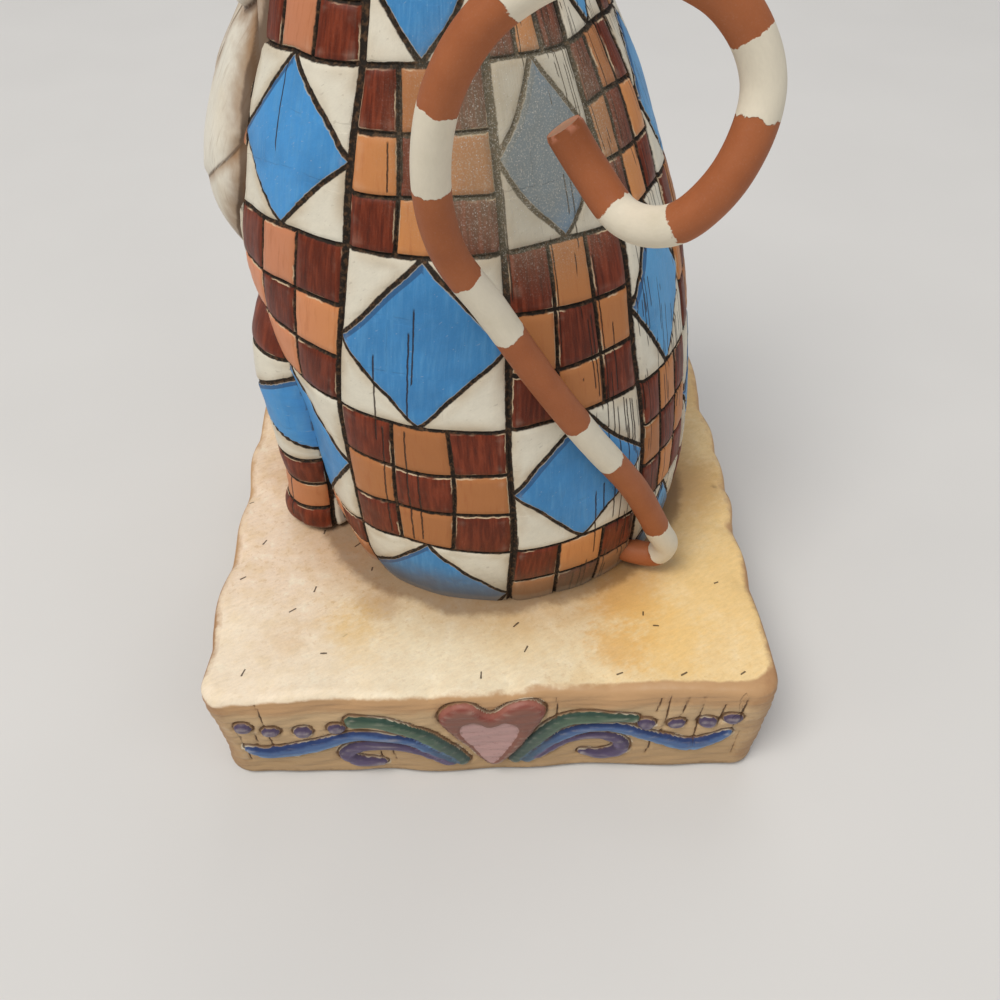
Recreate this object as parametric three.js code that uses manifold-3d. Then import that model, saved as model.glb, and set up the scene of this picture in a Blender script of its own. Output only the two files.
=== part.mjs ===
// A seated cat of cast resin on a square plinth, with a bent rod for a tail.
// Millimetres. +Z is up and the origin is the middle of the plinth's underside.
// The -Y side of the plinth carries the painted heart; the cat looks towards -X.
import * as THREE from "three";
import { mergeVertices } from "three/addons/utils/BufferGeometryUtils.js";
import Module from "manifold-3d";

const wasm = await Module();
wasm.setup();
const DEGREE = Math.PI / 180;

// Plinth
const PLINTH_SIDE = 96;
const PLINTH_HEIGHT = 25;
const PLINTH_CORNER = 4.2;
const EDGE_WAVE = 0.35;

// Cat: where it sits and which way it looks
const SEAT_GAP = 0.3;
const CAT_X = 2;
const CAT_Y = 5;
const CAT_HEADING = 160;

// Front legs, as places in the cat's own frame: +X forward, +Y to its left
const LEG_FORWARD = 27.4;
const LEG_ASIDE = 20.2;
const PAW_RADIUS = 7;
const PAW_REACH = 1.6;

// Chest fur: where it starts and ends, how wide it is and how far it stands proud
const BIB_TIP = 45;
const BIB_TOP = 109;
const BIB_HALF_WIDTH = 20;
const BIB_DEPTH = 14;
const BIB_PROUD = 7.8;

// Tail: a round rod, given by the places that its middle line bends through
const ROD_RADIUS = 2.2;
const SOCKET_GAP = 0.3;
const ROD_SIDES = 12;
const ROD_STEPS = 72;
const ROOT_BEND = [
  [20, -15.5, 3.4],
  [25.4, -20, 3.4],
  [29.8, -21.6, 4],
  [31, -22.6, 7.6],
  [29.2, -23.7, 12.2],
];
const RISING_SWEEP = [
  [23.7, -26, 24.6],
  [15.4, -29.5, 38.5],
  [8.3, -32, 50.8],
  [1, -33.5, 64],
  [-3.7, -35, 72.6],
];
const CROOK = [
  [-5.2, -37, 82.5],
  [-3.1, -39, 93.6],
  [2.5, -40, 101.2],
  [12.3, -41, 105.3],
  [22.6, -41.5, 101.9],
  [27.2, -42, 94.5],
  [25.3, -44, 86.7],
  [20.6, -43.5, 80.8],
];
const TIP = [
  [15.9, -38.5, 78.7],
  [12, -35.2, 82.6],
  [9, -34, 87],
];

// Ears
const EAR_TIP = 153;
const EAR_BASE = 132;
const EAR_HALF_WIDTH = 10.4;
const EAR_HALF_DEPTH = 5;
const EAR_FORWARD = 12.5;
const EAR_ASIDE = 14.4;
const EAR_LEAN = 16 * DEGREE;
const EAR_TURN = 14 * DEGREE;
const EAR_HOLLOW_SCALE = 0.68;

// Raised features of the face, each an oval: its half sizes and its middle. Paired ones are
// given for the left and turned outwards by their own angle.
const NOSE_BRIDGE = { half: [7, 5.2, 8], middle: [31.4, 0, 124] };
const CHIN = { half: [5.8, 5.8, 4], middle: [31.4, 0, 111.8] };
const NOSE = { half: [2.2, 3, 1.9], middle: [38.6, 0, 120.2] };
const WHISKER_PAD = { half: [6.6, 7, 5.2], middle: [32.6, 5.2, 115.8], turn: 0 };
const EYE = { half: [2.4, 4.6, 3.8], middle: [31.6, 10.6, 127.4], turn: 22 * DEGREE };

// How finely the cat is faceted
const BODY_SIDES = 52;
const BODY_RINGS = 24;
const HEAD_SIDES = 32;
const HEAD_RINGS = 16;
const LEG_SIDES = 18;
const LEG_RINGS = 14;

// One level of a loft. Its middle lies `forward` and `aside` of the axis, and it reaches
// `front`, `rear` and `side` from there.
function level(height, forward, front, rear, side, aside = 0) {
  return { height, forward, front, rear, side, aside };
}

// The body: widest at the haunches, leaning forward as it narrows to the neck.
const BODY = [
  level(0, 0, 29, 33.6, 33.2),
  level(7, 0.4, 30, 35.1, 35),
  level(18, 0.9, 31, 35.8, 36),
  level(32, 2, 31.5, 35.7, 36.2),
  level(45, 3.2, 34, 34.8, 35.6),
  level(57, 4.4, 34.4, 33, 33.8),
  level(67, 5.6, 31.6, 30.6, 31.4),
  level(78, 7, 27.6, 27.6, 28.6),
  level(88, 8.4, 22.4, 23.8, 25.2),
  level(98, 9.8, 19.4, 20.4, 21.6),
  level(108, 11.2, 17.6, 17.4, 18.4),
  level(116, 12.2, 16.8, 16.4, 17.4),
];

// The head: a broad low oval, fullest at the cheeks.
const HEAD = [
  level(103, 12.5, 9, 9, 9),
  level(105.5, 12.6, 16, 14.5, 17),
  level(110, 13, 20.4, 18, 22),
  level(118, 13.5, 23, 20.4, 26),
  level(127, 13.2, 22.6, 21.2, 25.4),
  level(135, 12.4, 19.4, 19.8, 22.4),
  level(141, 11.8, 14.4, 15.8, 17),
  level(144.4, 11.4, 8, 9, 9.6),
  level(145.6, 11.2, 2, 2, 2),
];

// A level part-way along a list of levels, on a smooth curve through all of them.
function levelAt(levels, share) {
  const place = share * (levels.length - 1);
  const index = Math.min(Math.floor(place), levels.length - 2);
  const local = place - index;
  const pick = (offset) => levels[THREE.MathUtils.clamp(index + offset, 0, levels.length - 1)];
  const [before, start, end, after] = [-1, 0, 1, 2].map(pick);
  const mixed = {};
  for (const key of Object.keys(start)) {
    const outgoing = (end[key] - before[key]) / 2;
    const incoming = (after[key] - start[key]) / 2;
    const rise = end[key] - start[key];
    mixed[key] =
      start[key] +
      local * outgoing +
      local ** 2 * (3 * rise - 2 * outgoing - incoming) +
      local ** 3 * (outgoing + incoming - 2 * rise);
  }
  return mixed;
}

// The level at a stated height.
function levelAtHeight(levels, height) {
  const above = levels.findIndex((one) => one.height >= height);
  const index = Math.max(above, 1) - 1;
  const [low, high] = [levels[index], levels[index + 1]];
  const local = (height - low.height) / (high.height - low.height);
  return levelAt(levels, (index + local) / (levels.length - 1));
}

// A closed surface through rings of points, with a flat lid on each end ring.
function closedLoft(rings) {
  const sides = rings[0].length;
  const points = rings.flat();
  const faces = [];
  for (let ring = 0; ring < rings.length - 1; ring++) {
    for (let side = 0; side < sides; side++) {
      const a = ring * sides + side;
      const b = ring * sides + ((side + 1) % sides);
      faces.push(a, b, b + sides, a, b + sides, a + sides);
    }
  }
  for (const [ring, down] of [[0, true], [rings.length - 1, false]]) {
    const middle = new THREE.Vector3();
    rings[ring].forEach((point) => middle.addScaledVector(point, 1 / sides));
    points.push(middle);
    for (let side = 0; side < sides; side++) {
      const a = ring * sides + side;
      const b = ring * sides + ((side + 1) % sides);
      faces.push(points.length - 1, down ? b : a, down ? a : b);
    }
  }
  const geometry = new THREE.BufferGeometry().setFromPoints(points);
  geometry.setIndex(faces);
  return geometry;
}

// A loft whose rings are ovals at the heights of a list of levels.
function ovalLoft(levels, ringCount, sides) {
  const rings = [];
  for (let ring = 0; ring < ringCount; ring++) {
    const size = levelAt(levels, ring / (ringCount - 1));
    const points = [];
    for (let side = 0; side < sides; side++) {
      const turn = (2 * Math.PI * side) / sides;
      const reach = Math.cos(turn) > 0 ? size.front : size.rear;
      const x = size.forward + reach * Math.cos(turn);
      const y = size.aside + size.side * Math.sin(turn);
      points.push(new THREE.Vector3(x, y, size.height));
    }
    rings.push(points);
  }
  return closedLoft(rings);
}

// A ball stretched to three half sizes, turned about its own upright and put in place.
// sideSign -1 gives the mirror image of a paired feature.
function oval({ half, middle, turn = 0 }, sideSign = 1) {
  const geometry = new THREE.SphereGeometry(1, 16, 10);
  geometry.scale(...half);
  geometry.rotateZ(sideSign * turn);
  geometry.translate(middle[0], sideSign * middle[1], middle[2]);
  return geometry;
}

// The solid inside a closed geometry.
function solidOf(geometry) {
  const bare = geometry.clone();
  bare.deleteAttribute("normal");
  bare.deleteAttribute("uv");
  const merged = mergeVertices(bare, 1e-4);
  return new wasm.Manifold(
    new wasm.Mesh({
      numProp: 3,
      vertProperties: new Float32Array(merged.attributes.position.array),
      triVerts: new Uint32Array(merged.index.array),
    }),
  );
}

// A solid's surface as a geometry that can be drawn.
function geometryOf(solid) {
  const mesh = solid.getMesh();
  const geometry = new THREE.BufferGeometry();
  const places = new Float32Array(mesh.vertProperties);
  geometry.setAttribute("position", new THREE.BufferAttribute(places, 3));
  geometry.setIndex(new THREE.BufferAttribute(new Uint32Array(mesh.triVerts), 1));
  geometry.computeVertexNormals();
  return geometry;
}

function matt(red, green, blue, roughness) {
  const color = new THREE.Color().setRGB(red, green, blue, THREE.SRGBColorSpace);
  return new THREE.MeshStandardMaterial({ color, roughness, metalness: 0 });
}

// The plinth is a square slab with round corners and a wavy hand-cut edge. Its sides draw in
// a little towards the foot, and its top edge is a soft round.
function plinthOutline(inset, height) {
  const half = PLINTH_SIDE / 2 - inset;
  const perQuarter = 22;
  const arcSteps = 6;
  const points = [];
  for (let corner = 0; corner < 4; corner++) {
    const quarter = new THREE.Vector3(0, 0, 1);
    for (let step = 0; step < perQuarter; step++) {
      const onArc = step < arcSteps;
      const turn = ((onArc ? step / arcSteps : 1) * Math.PI) / 2;
      const along = onArc ? 0 : (step - arcSteps) / (perQuarter - arcSteps);
      const straight = 2 * (half - PLINTH_CORNER);
      const x = half - PLINTH_CORNER + PLINTH_CORNER * Math.cos(turn) - along * straight;
      const y = half - PLINTH_CORNER + PLINTH_CORNER * Math.sin(turn);
      const point = new THREE.Vector3(x, y, 0);
      point.applyAxisAngle(quarter, (corner * Math.PI) / 2);
      const bearing = Math.atan2(point.y, point.x);
      const wave = Math.sin(7 * bearing + 0.8) + 0.6 * Math.sin(17 * bearing + height / 9);
      point.multiplyScalar(1 - (EDGE_WAVE * (1.2 - wave)) / half);
      point.z = height;
      points.push(point);
    }
  }
  return points;
}

// The plinth's outlines from the foot up, each drawn in by its inset.
function plinth() {
  const courses = [
    { height: 0, inset: 1.1 },
    { height: 1, inset: 0.6 },
    { height: 9, inset: 0.5 },
    { height: 17, inset: 0.2 },
    { height: 23, inset: 0 },
    { height: 24.4, inset: 0.4 },
    { height: PLINTH_HEIGHT, inset: 1.4 },
  ];
  const rings = courses.map(({ height, inset }) => plinthOutline(inset, height));
  const mesh = new THREE.Mesh(closedLoft(rings), matt(0.92, 0.86, 0.72, 0.7));
  mesh.name = "plinth";
  return mesh;
}

// A front leg: a column that leaves the shoulder, thins to the ankle and ends in a round paw.
function frontLeg(sideSign) {
  const aside = sideSign * LEG_ASIDE;
  const column = [
    level(-2, LEG_FORWARD, 6.2, 6.2, 6.2, aside),
    level(1.2, LEG_FORWARD, PAW_RADIUS, PAW_RADIUS, PAW_RADIUS, aside),
    level(3.8, LEG_FORWARD, PAW_RADIUS, PAW_RADIUS, PAW_RADIUS, aside),
    level(8.5, LEG_FORWARD - 0.2, 6.2, 6.2, 6.1, aside),
    level(17, LEG_FORWARD - 0.2, 6.5, 6.7, 6.4, aside),
    level(28, LEG_FORWARD - 0.4, 7.2, 7.6, 7.2, aside),
    level(38, LEG_FORWARD - 1, 8.3, 8.8, 8, aside * 0.97),
    level(49, LEG_FORWARD - 3, 9.4, 10, 8.8, aside * 0.9),
    level(60, LEG_FORWARD - 8, 9.6, 10, 9, aside * 0.78),
    level(70, LEG_FORWARD - 14, 8, 8, 7, aside * 0.66),
  ];
  const toes = { half: [6.6, 6.2, 6], middle: [LEG_FORWARD + PAW_REACH, LEG_ASIDE, 1] };
  const leg = solidOf(ovalLoft(column, LEG_RINGS, LEG_SIDES));
  return leg.add(solidOf(oval(toes, sideSign)));
}

// The chest fur: a shield laid on the chest, fullest below the chin, drawn in to a point.
function bib() {
  const levels = [];
  const count = 9;
  for (let step = 0; step < count; step++) {
    const share = step / (count - 1);
    const height = THREE.MathUtils.lerp(BIB_TIP, BIB_TOP, share);
    const body = levelAtHeight(BODY, height);
    const fullness = Math.sin(Math.PI * (0.12 + share * 0.84));
    const width = BIB_HALF_WIDTH * Math.sin((Math.PI / 2) * Math.min(0.2 + share * 1.9, 1));
    const front = body.forward + body.front + BIB_PROUD * fullness;
    levels.push(level(height, front - BIB_DEPTH, BIB_DEPTH, BIB_DEPTH, width));
  }
  return solidOf(ovalLoft(levels, 16, 26));
}

// An ear: a flattened cone with a shallow hollow in front, leaning out from the head.
function ear(sideSign) {
  const tall = EAR_TIP - EAR_BASE;
  const taper = [
    { rise: 0, depth: 1, width: 1 },
    { rise: 0.3, depth: 0.84, width: 0.83 },
    { rise: 0.65, depth: 0.58, width: 0.52 },
    { rise: 0.92, depth: 0.34, width: 0.23 },
    { rise: 1, depth: 0.14, width: 0.09 },
  ];
  const cone = (scale, lift) => {
    const levels = taper.map(({ rise, depth, width }) => {
      const reach = EAR_HALF_DEPTH * depth * scale;
      return level(lift + tall * rise, 0, reach, reach, EAR_HALF_WIDTH * width * scale);
    });
    return ovalLoft(levels, 9, 16);
  };
  const hollow = cone(EAR_HOLLOW_SCALE, 1.5);
  hollow.translate(EAR_HALF_DEPTH * 0.88, 0, 0);
  const geometry = geometryOf(solidOf(cone(1, 0)).subtract(solidOf(hollow)));
  geometry.rotateZ(sideSign * EAR_TURN);
  geometry.rotateX(-sideSign * EAR_LEAN);
  geometry.translate(EAR_FORWARD, sideSign * EAR_ASIDE, EAR_BASE);
  return geometry;
}

// The head with its ears, muzzle, nose and eyes.
function head() {
  const skull = solidOf(ovalLoft(HEAD, HEAD_RINGS, HEAD_SIDES));
  const features = [NOSE_BRIDGE, CHIN, NOSE].map((feature) => oval(feature));
  for (const sideSign of [-1, 1]) {
    features.push(ear(sideSign), oval(WHISKER_PAD, sideSign), oval(EYE, sideSign));
  }
  return features.reduce((whole, feature) => whole.add(solidOf(feature)), skull);
}

// A round rod along the tail's middle line.
function rod(radius) {
  const places = [ROOT_BEND, RISING_SWEEP, CROOK, TIP].flat();
  const path = new THREE.CatmullRomCurve3(places.map((place) => new THREE.Vector3(...place)));
  const section = new THREE.Shape().absarc(0, 0, radius, 0, 2 * Math.PI);
  return new THREE.ExtrudeGeometry(section, {
    steps: ROD_STEPS,
    curveSegments: ROD_SIDES / 2,
    extrudePath: path,
    bevelEnabled: false,
  });
}

// The cat is one casting. Its foot is cut flat, and the tail's socket is drilled into it.
function cat() {
  const body = solidOf(ovalLoft(BODY, BODY_RINGS, BODY_SIDES));
  const parts = [frontLeg(-1), frontLeg(1), bib(), head()];
  const whole = parts.reduce((joined, part) => joined.add(part), body);
  const ground = new THREE.BoxGeometry(PLINTH_SIDE, PLINTH_SIDE, PLINTH_HEIGHT);
  ground.translate(0, 0, -PLINTH_HEIGHT / 2);
  const socket = rod(ROD_RADIUS + SOCKET_GAP);
  socket.translate(-CAT_X, -CAT_Y, 0);
  socket.rotateZ(-CAT_HEADING * DEGREE);
  const solid = whole.subtract(solidOf(ground)).subtract(solidOf(socket));
  const mesh = new THREE.Mesh(geometryOf(solid), matt(0.86, 0.83, 0.76, 0.55));
  mesh.name = "cat";
  mesh.rotation.z = CAT_HEADING * DEGREE;
  mesh.position.set(CAT_X, CAT_Y, PLINTH_HEIGHT + SEAT_GAP);
  return mesh;
}

function tail() {
  const mesh = new THREE.Mesh(rod(ROD_RADIUS), matt(0.7, 0.42, 0.27, 0.5));
  mesh.name = "tail";
  mesh.position.z = PLINTH_HEIGHT + SEAT_GAP;
  return mesh;
}

const figurine = new THREE.Group();
figurine.add(plinth(), cat(), tail());
export default figurine;
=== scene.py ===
"""The looks of a seated cat figurine: a patchwork coat of raised painted tiles, locks of chest
fur, a plain head, a banded rod tail, and a square plinth with a raised heart and scrolls."""
import math

import bpy
import numpy as np
from mathutils import Matrix, Vector


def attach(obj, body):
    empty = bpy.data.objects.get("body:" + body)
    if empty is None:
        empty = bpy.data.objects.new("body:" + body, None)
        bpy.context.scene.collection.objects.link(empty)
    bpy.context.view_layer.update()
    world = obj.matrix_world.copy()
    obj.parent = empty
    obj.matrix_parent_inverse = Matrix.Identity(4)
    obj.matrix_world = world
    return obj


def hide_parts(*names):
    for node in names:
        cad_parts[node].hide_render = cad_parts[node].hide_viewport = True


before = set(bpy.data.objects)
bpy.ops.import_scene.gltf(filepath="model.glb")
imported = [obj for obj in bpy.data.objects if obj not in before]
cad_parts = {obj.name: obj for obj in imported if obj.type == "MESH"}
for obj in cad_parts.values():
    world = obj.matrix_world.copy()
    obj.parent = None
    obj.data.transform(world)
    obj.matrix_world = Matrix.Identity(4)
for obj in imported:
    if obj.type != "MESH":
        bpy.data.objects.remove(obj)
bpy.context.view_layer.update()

bl_info = {
    "name": "Patchwork cat figurine",
    "version": (1, 0, 0),
    "blender": (4, 5, 0),
    "location": "3D View > Sidebar > Figurine",
    "description": "Models and paints a seated patchwork cat on its plinth",
    "category": "Add Mesh",
}

# Sizes below are in millimetres, and become metres where a mesh is placed.
MM = 0.001

# The cat's own frame: +X forward, +Y to its left, +Z up from the plinth's top.
CAT_PLACE = (2, 5, 25.3)
CAT_HEADING = math.radians(160)

# The body's levels: height, lean forward, and reach to the front, rear and sides.
BODY = [
    (0, 0, 29, 33.6, 33.2),
    (7, 0.4, 30, 35.1, 35),
    (18, 0.9, 31, 35.8, 36),
    (32, 2, 31.5, 35.7, 36.2),
    (45, 3.2, 34.8, 34.8, 35.6),
    (57, 4.4, 35.8, 33, 33.8),
    (67, 5.6, 33, 30.6, 31.4),
    (78, 7, 28.6, 27.6, 28.6),
    (88, 8.4, 22.4, 23.8, 25.2),
    (98, 9.8, 19.4, 20.4, 21.6),
    (108, 11.2, 17.6, 17.4, 18.4),
    (116, 12.2, 16.8, 16.4, 17.4),
]
HEAD = [
    (103, 12.5, 9, 9, 9),
    (105.5, 12.6, 16, 14.5, 17),
    (110, 13, 20.4, 18, 22),
    (118, 13.5, 23, 20.4, 26),
    (127, 13.2, 22.6, 21.2, 25.4),
    (135, 12.4, 19.4, 19.8, 22.4),
    (141, 11.8, 14.4, 15.8, 17),
    (144.4, 11.4, 8, 9, 9.6),
    (145.6, 11.2, 2, 2, 2),
]

# The quilt. Its columns are counted both ways from the seam down the middle of the back: each
# seam's angle from there half-way up, and how much of the narrowing towards the neck it takes.
SEAM_ANGLES = np.array([0, 26, 60, 100, 144, 180])
SEAM_NARROWS = np.array([0, 0.1, 0.9, 1, 0.6, 0])
ROW_HEIGHTS = np.array([-9.8, 15.2, 40.6, 65.8, 87.1, 106, 124])
COLUMNS = 10
CELLS = 33

# Long cracks in the coat: column, and row of the lower and upper end
COAT_CRACKS = [
    (1.44, 2.03, 2.62), (1.28, 1.04, 1.96), (1.42, 1.02, 1.97), (1.48, 1.05, 1.7), (2.62, 2.05, 2.6),
    (2.7, 2, 2.9), (2.79, 2.04, 2.5), (2.86, 1.62, 1.97), (2.91, 1.5, 1.95), (1.26, 3.36, 3.64),
]

# Front legs
LEG_FORWARD = 27.4
LEG_ASIDE = 20.2
LEG_ROWS = np.array([0, 18.2, 40.6, 65.8, 87.1])
# The foot is wrapped in tiles once round; their seam is at the back of the leg
LEG_SEAM = 1
LEG = [
    (0, 0.3, 6.8, 6.4, 6.2, 1),
    (1.2, 0.3, 7.2, 6.7, 6.5, 1),
    (4, 0.3, 7, 6.7, 6.5, 1),
    (8.5, -0.2, 6.2, 6.1, 6, 1),
    (17, -0.2, 6.5, 6.7, 6.4, 1),
    (28, -0.4, 7.2, 7.6, 7.2, 1),
    (38, -1, 8.3, 8.8, 8, 0.97),
    (48, -4, 8.8, 9.6, 8.2, 0.9),
    (57, -9.5, 8.6, 9, 8, 0.78),
    (66, -15, 7, 7, 6, 0.66),
]

# Chest fur
BIB_TIP = 39.5
BIB_TOP = 109
BIB_HALF_WIDTH = 21.6
BIB_DEPTH = 14
BIB_PROUD = 5.4
# Its locks, on both sides alike, from the lowest to the uppermost: how far aside and how high
# the tip lies, the same for the root, the bend aside half-way, and the half width
LOCKS = [
    (8, 40, 16, 73, 1, 9), (0, 45, 0, 76, 1.5, 7), (31, 55, 30, 80, 0, 5), (6.4, 59.5, 9, 89, 6, 8.6),
    (29.5, 71, 16, 106, 0, 6.4), (0, 68, 0, 96, -1.5, 7.5), (31, 86, 29, 112, 0, 6), (12, 87, 14, 114, 3, 8),
    (1, 88, 0, 114, 1.5, 7.5), (21, 95, 19, 120, 1, 7.5), (8, 101, 8, 124, 0, 7),
]

# Tail: the places that its middle line bends through, above the plinth's top
ROD_RADIUS = 2.2
TAIL_ROUTE = [
    (20, -15.5, 3.4), (25.4, -20, 3.4), (29.8, -21.6, 4), (31, -22.6, 7.6), (29.2, -23.7, 12.2),
    (23.7, -26, 24.6), (15.4, -29.5, 38.5), (8.3, -32, 50.8), (1, -33.5, 64), (-3.7, -35, 72.6),
    (-5.2, -37, 82.5), (-3.1, -39, 93.6), (2.5, -40, 101.2), (12.3, -41, 105.3),
    (22.6, -41.5, 101.9), (27.2, -42, 94.5), (25.3, -44, 86.7), (20.6, -43.5, 80.8),
    (15.9, -38.5, 78.7), (12, -35.2, 82.6), (9, -34, 87),
]
# Where each white band starts and ends, along the rod from its root
TAIL_BANDS = [(12.6, 23), (44.6, 56), (76, 86.6), (100.4, 110), (122.6, 133.5), (148.1, 156.2), (169, 178.2)]

# White stripes over the head, along a slanted measure from its face to its back
HEAD_STRIPES = [(36.3, 39.7), (46.8, 50.2), (57.3, 60.7)]

# Head: raised features as half sizes and middles, and the ears
HEAD_VOXEL = 0.0006
NOSE_BRIDGE = ((7, 5.2, 8), (31.4, 0, 124))
CHIN = ((5.8, 5.8, 4), (31.4, 0, 111.8))
NOSE = ((2.2, 3, 1.9), (38.6, 0, 120.2))
WHISKER_PAD = ((6.6, 7, 5.2), (32.6, 5.2, 115.8))
EYE = ((2.4, 4.6, 3.8), (31.6, 10.6, 127.4))
EYE_TURN = math.radians(22)
EAR_TIP = 153
EAR_BASE = 132
EAR_HALF_WIDTH = 10.4
EAR_HALF_DEPTH = 5
EAR_FORWARD = 12.5
EAR_ASIDE = 14.4
EAR_LEAN = math.radians(16)
EAR_TURN = math.radians(14)
EAR_TAPER = [(0, 1, 1), (0.3, 0.84, 0.83), (0.65, 0.58, 0.52), (0.92, 0.34, 0.23), (1, 0.14, 0.09)]

# Plinth: its courses are a height and how far the side is drawn in there
PLINTH_SIDE = 96
PLINTH_HEIGHT = 25
PLINTH_CORNER = 4.2
PLINTH_COURSES = [(0, 1.1), (1, 0.6), (9, 0.5), (17, 0.2), (23, 0)]
EDGE_WAVE = 0.35
FACE_STEPS = (110, 110, 230, 110)
FRONT = 2

# The ornament on a face: places are millimetres to the right of its middle and up from its foot
HEART = [(-8.7, 18.4), (-6.9, 22.4), (-3.2, 23.2), (0, 20.2), (3.2, 22.8), (6.8, 23.2), (9.4, 20.1),
         (6.7, 13), (0.6, 3.2), (-5.3, 11.9)]
HEART_MIDDLE = [(-5.2, 16), (-2.9, 18.5), (-0.1, 17.1), (2.6, 18.4), (4.8, 15.8), (3.1, 10.2),
                (0.1, 4.5), (-3, 9.8)]
PAINTS = ["heart", "heart_middle", "green", "blue", "purple"]


def dot(along, height):
    """A painted dot, as the shortest of strokes."""
    return "purple", [(along - 0.2, height), (along + 0.2, height)], [1.35]


# Each stroke: its paint, its places from the free end to the foot, and its half width there
FRONT_STROKES = [
    ("green", [(-23.1, 17.3), (-15.8, 16.5), (-9.7, 11.5), (-5, 4.6)], [1.9, 1.5, 1.6, 1.3]),
    ("blue", [(-42.6, 9.3), (-38.1, 7.8), (-30.5, 9.9), (-23.7, 12.4), (-15.5, 12.3), (-10.7, 9.4),
              (-6.9, 4.9)], [0.7, 1.9, 1.7, 1.2, 1.2, 1.4, 1.4]),
    ("purple", [(-19.6, 3.9), (-23.4, 4.2), (-25.6, 6.4), (-23.8, 8.6), (-18.6, 9.7), (-12.6, 8.6),
                (-7.4, 4.4)], [1, 1.5, 1.5, 1.5, 1.3, 1.1, 1]),
    ("green", [(24.4, 17), (18.1, 17.6), (12.2, 15.7), (7.3, 10.1), (4.3, 4.6)], [0.9, 1.5, 1.6, 1.8, 1.3]),
    ("blue", [(40.8, 11.6), (38.2, 9.2), (34.4, 8), (28.8, 10.6), (22.6, 13.8), (16.7, 13.7),
              (10.7, 9.9), (6.4, 4.9)], [1, 1.6, 1.8, 1.4, 1.2, 1.3, 1.5, 1.4]),
    ("purple", [(16.4, 5.4), (19.6, 4.6), (22.8, 6.8), (22.2, 10), (18.6, 11.4), (13.6, 9.9),
                (8.4, 5.6)], [0.8, 1.3, 1.5, 1.3, 1.1, 1, 0.9]),
    *(dot(*place) for place in ((-41.9, 16.4), (-37.5, 14.9), (-32.2, 14.4), (-26.5, 15.1),
                                (26.6, 15.4), (31.9, 14.9), (37.1, 15.3), (41, 16.7))),
]
SIDE_STROKES = [
    ("blue", [(-36, 9.6), (-28, 7.4), (-17, 10.2), (-8, 12.6), (0, 13.2), (8, 12.6), (17, 10.2), (28, 7.4),
              (36, 9.6)], [0.7, 1.8, 1.5, 1.3, 1.6, 1.3, 1.5, 1.8, 0.7]),
    ("green", [(-17, 16.6), (-10, 17.6), (-3, 16.6)], [1.7, 1.4, 0.8]),
    ("green", [(17, 16.6), (10, 17.6), (3, 16.6)], [1.7, 1.4, 0.8]),
    *(dot(*place) for place in ((-37, 15.4), (-30, 14.6), (-23, 15.2), (23, 15.2), (30, 14.6), (37, 15.4))),
]

# Thin upright cracks in the front face: right and up of one end, then of the other
CRACKS = [
    (11.1, 23, 11.3, 16.5), (30, 23.3, 29.5, 11.9), (28.5, 22.7, 28, 18.5), (33, 23, 32.3, 17.1),
    (35.6, 23.6, 35.1, 5.4), (39.2, 20.8, 38.6, 12.2), (42.5, 23.6, 41.3, 12.1), (45, 19.7, 44.3, 9.7),
    (43.1, 11.7, 42.8, 4.4), (27.9, 9.4, 27.3, 4.7), (-38.8, 23.5, -38.4, 16.2), (-20, 8.1, -19.4, 4.2),
    (-38.3, 13.7, -38, 9.5), (-40.7, 14.6, -40.6, 10.2), (-43.5, 16.1, -43.3, 9.1), (-43, 9.1, -42.9, 5),
    (-17.6, 8.3, -17, 4.1),
]
# Stains on the plinth, and the cat's painted shadow at its right: middle, reach, colour, share
PLINTH_STAINS_AND_SHADOW = [
    ((31, -35, 25), 12, (234, 188, 108), 0.6),
    ((25, -29, 25), 11, (226, 162, 68), 0.85),
    ((22, -38, 25), 7, (222, 164, 80), 0.75),
    ((-19, -29, 25), 6, (168, 130, 94), 0.4),
    ((-24, -35, 25), 10, (226, 184, 108), 0.75),
    ((-34, -37, 25), 8, (222, 184, 136), 0.55),
    ((4, -36, 25), 9, (224, 190, 128), 0.5),
    # The cat's painted shadow on the top, at its right
    ((41, 2, 25), 12, (176, 128, 78), 0.7),
    ((39, 30, 25), 16, (198, 150, 92), 0.6),
    ((-36, 12, 25), 14, (208, 172, 138), 0.5),
    ((42, -24, 25), 24, (238, 200, 132), 0.6),
]

# Where dust lies thickest on the cat's back
DUSTY_PLACE = (6, -17, 102)

# Stage: lights are a name, place, size, power and colour
SMOOTH_ANGLE = math.radians(60)
FLOOR_DROP = -0.0003
LIGHT_AIM = (0, 0, 0.06)
LIGHTS = [
    ("key", (-0.6, -0.6, 1.6), 0.8, 22, (1, 0.97, 0.93)),
    ("fill", (1.1, -0.9, 0.9), 1.3, 3.2, (0.97, 0.98, 1)),
    ("rim", (0.3, 1.1, 1.3), 1.1, 4, (1, 0.98, 0.95)),
]
WORLD_COLOUR = (0.9, 0.93, 1)
WORLD_STRENGTH = 0.33
CAMERA_LENS = 34.2
CAMERA_PLACE = (
    (0.99972799, 0.01926717, -0.0131425, 0.000227),
    (-0.02293499, 0.70983448, -0.70399503, -0.13314),
    (-0.004235, 0.70410496, 0.71008328, 0.15608),
    (0, 0, 0, 1),
)

# The cat's materials, by number
COAT, FUR, FACE = range(3)
CAT_MATERIALS = ("patchwork coat", "chest fur", "painted head")


def linear(red, green, blue):
    """A colour as a screen shows it, 0 to 255 a channel, in the linear values of a shader."""
    return tuple(((share / 255 + 0.055) / 1.055) ** 2.4 for share in (red, green, blue))


def colour_property(name, description, *screen):
    """A colour that a user can change."""
    return bpy.props.FloatVectorProperty(
        name=name, description=description, subtype="COLOR", size=3, min=0, max=1,
        default=linear(*screen))


def length_property(name, description, millimetres):
    """A small length that a user can change."""
    return bpy.props.FloatProperty(
        name=name, description=description, subtype="DISTANCE", unit="LENGTH", min=0,
        default=millimetres * MM)


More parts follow.
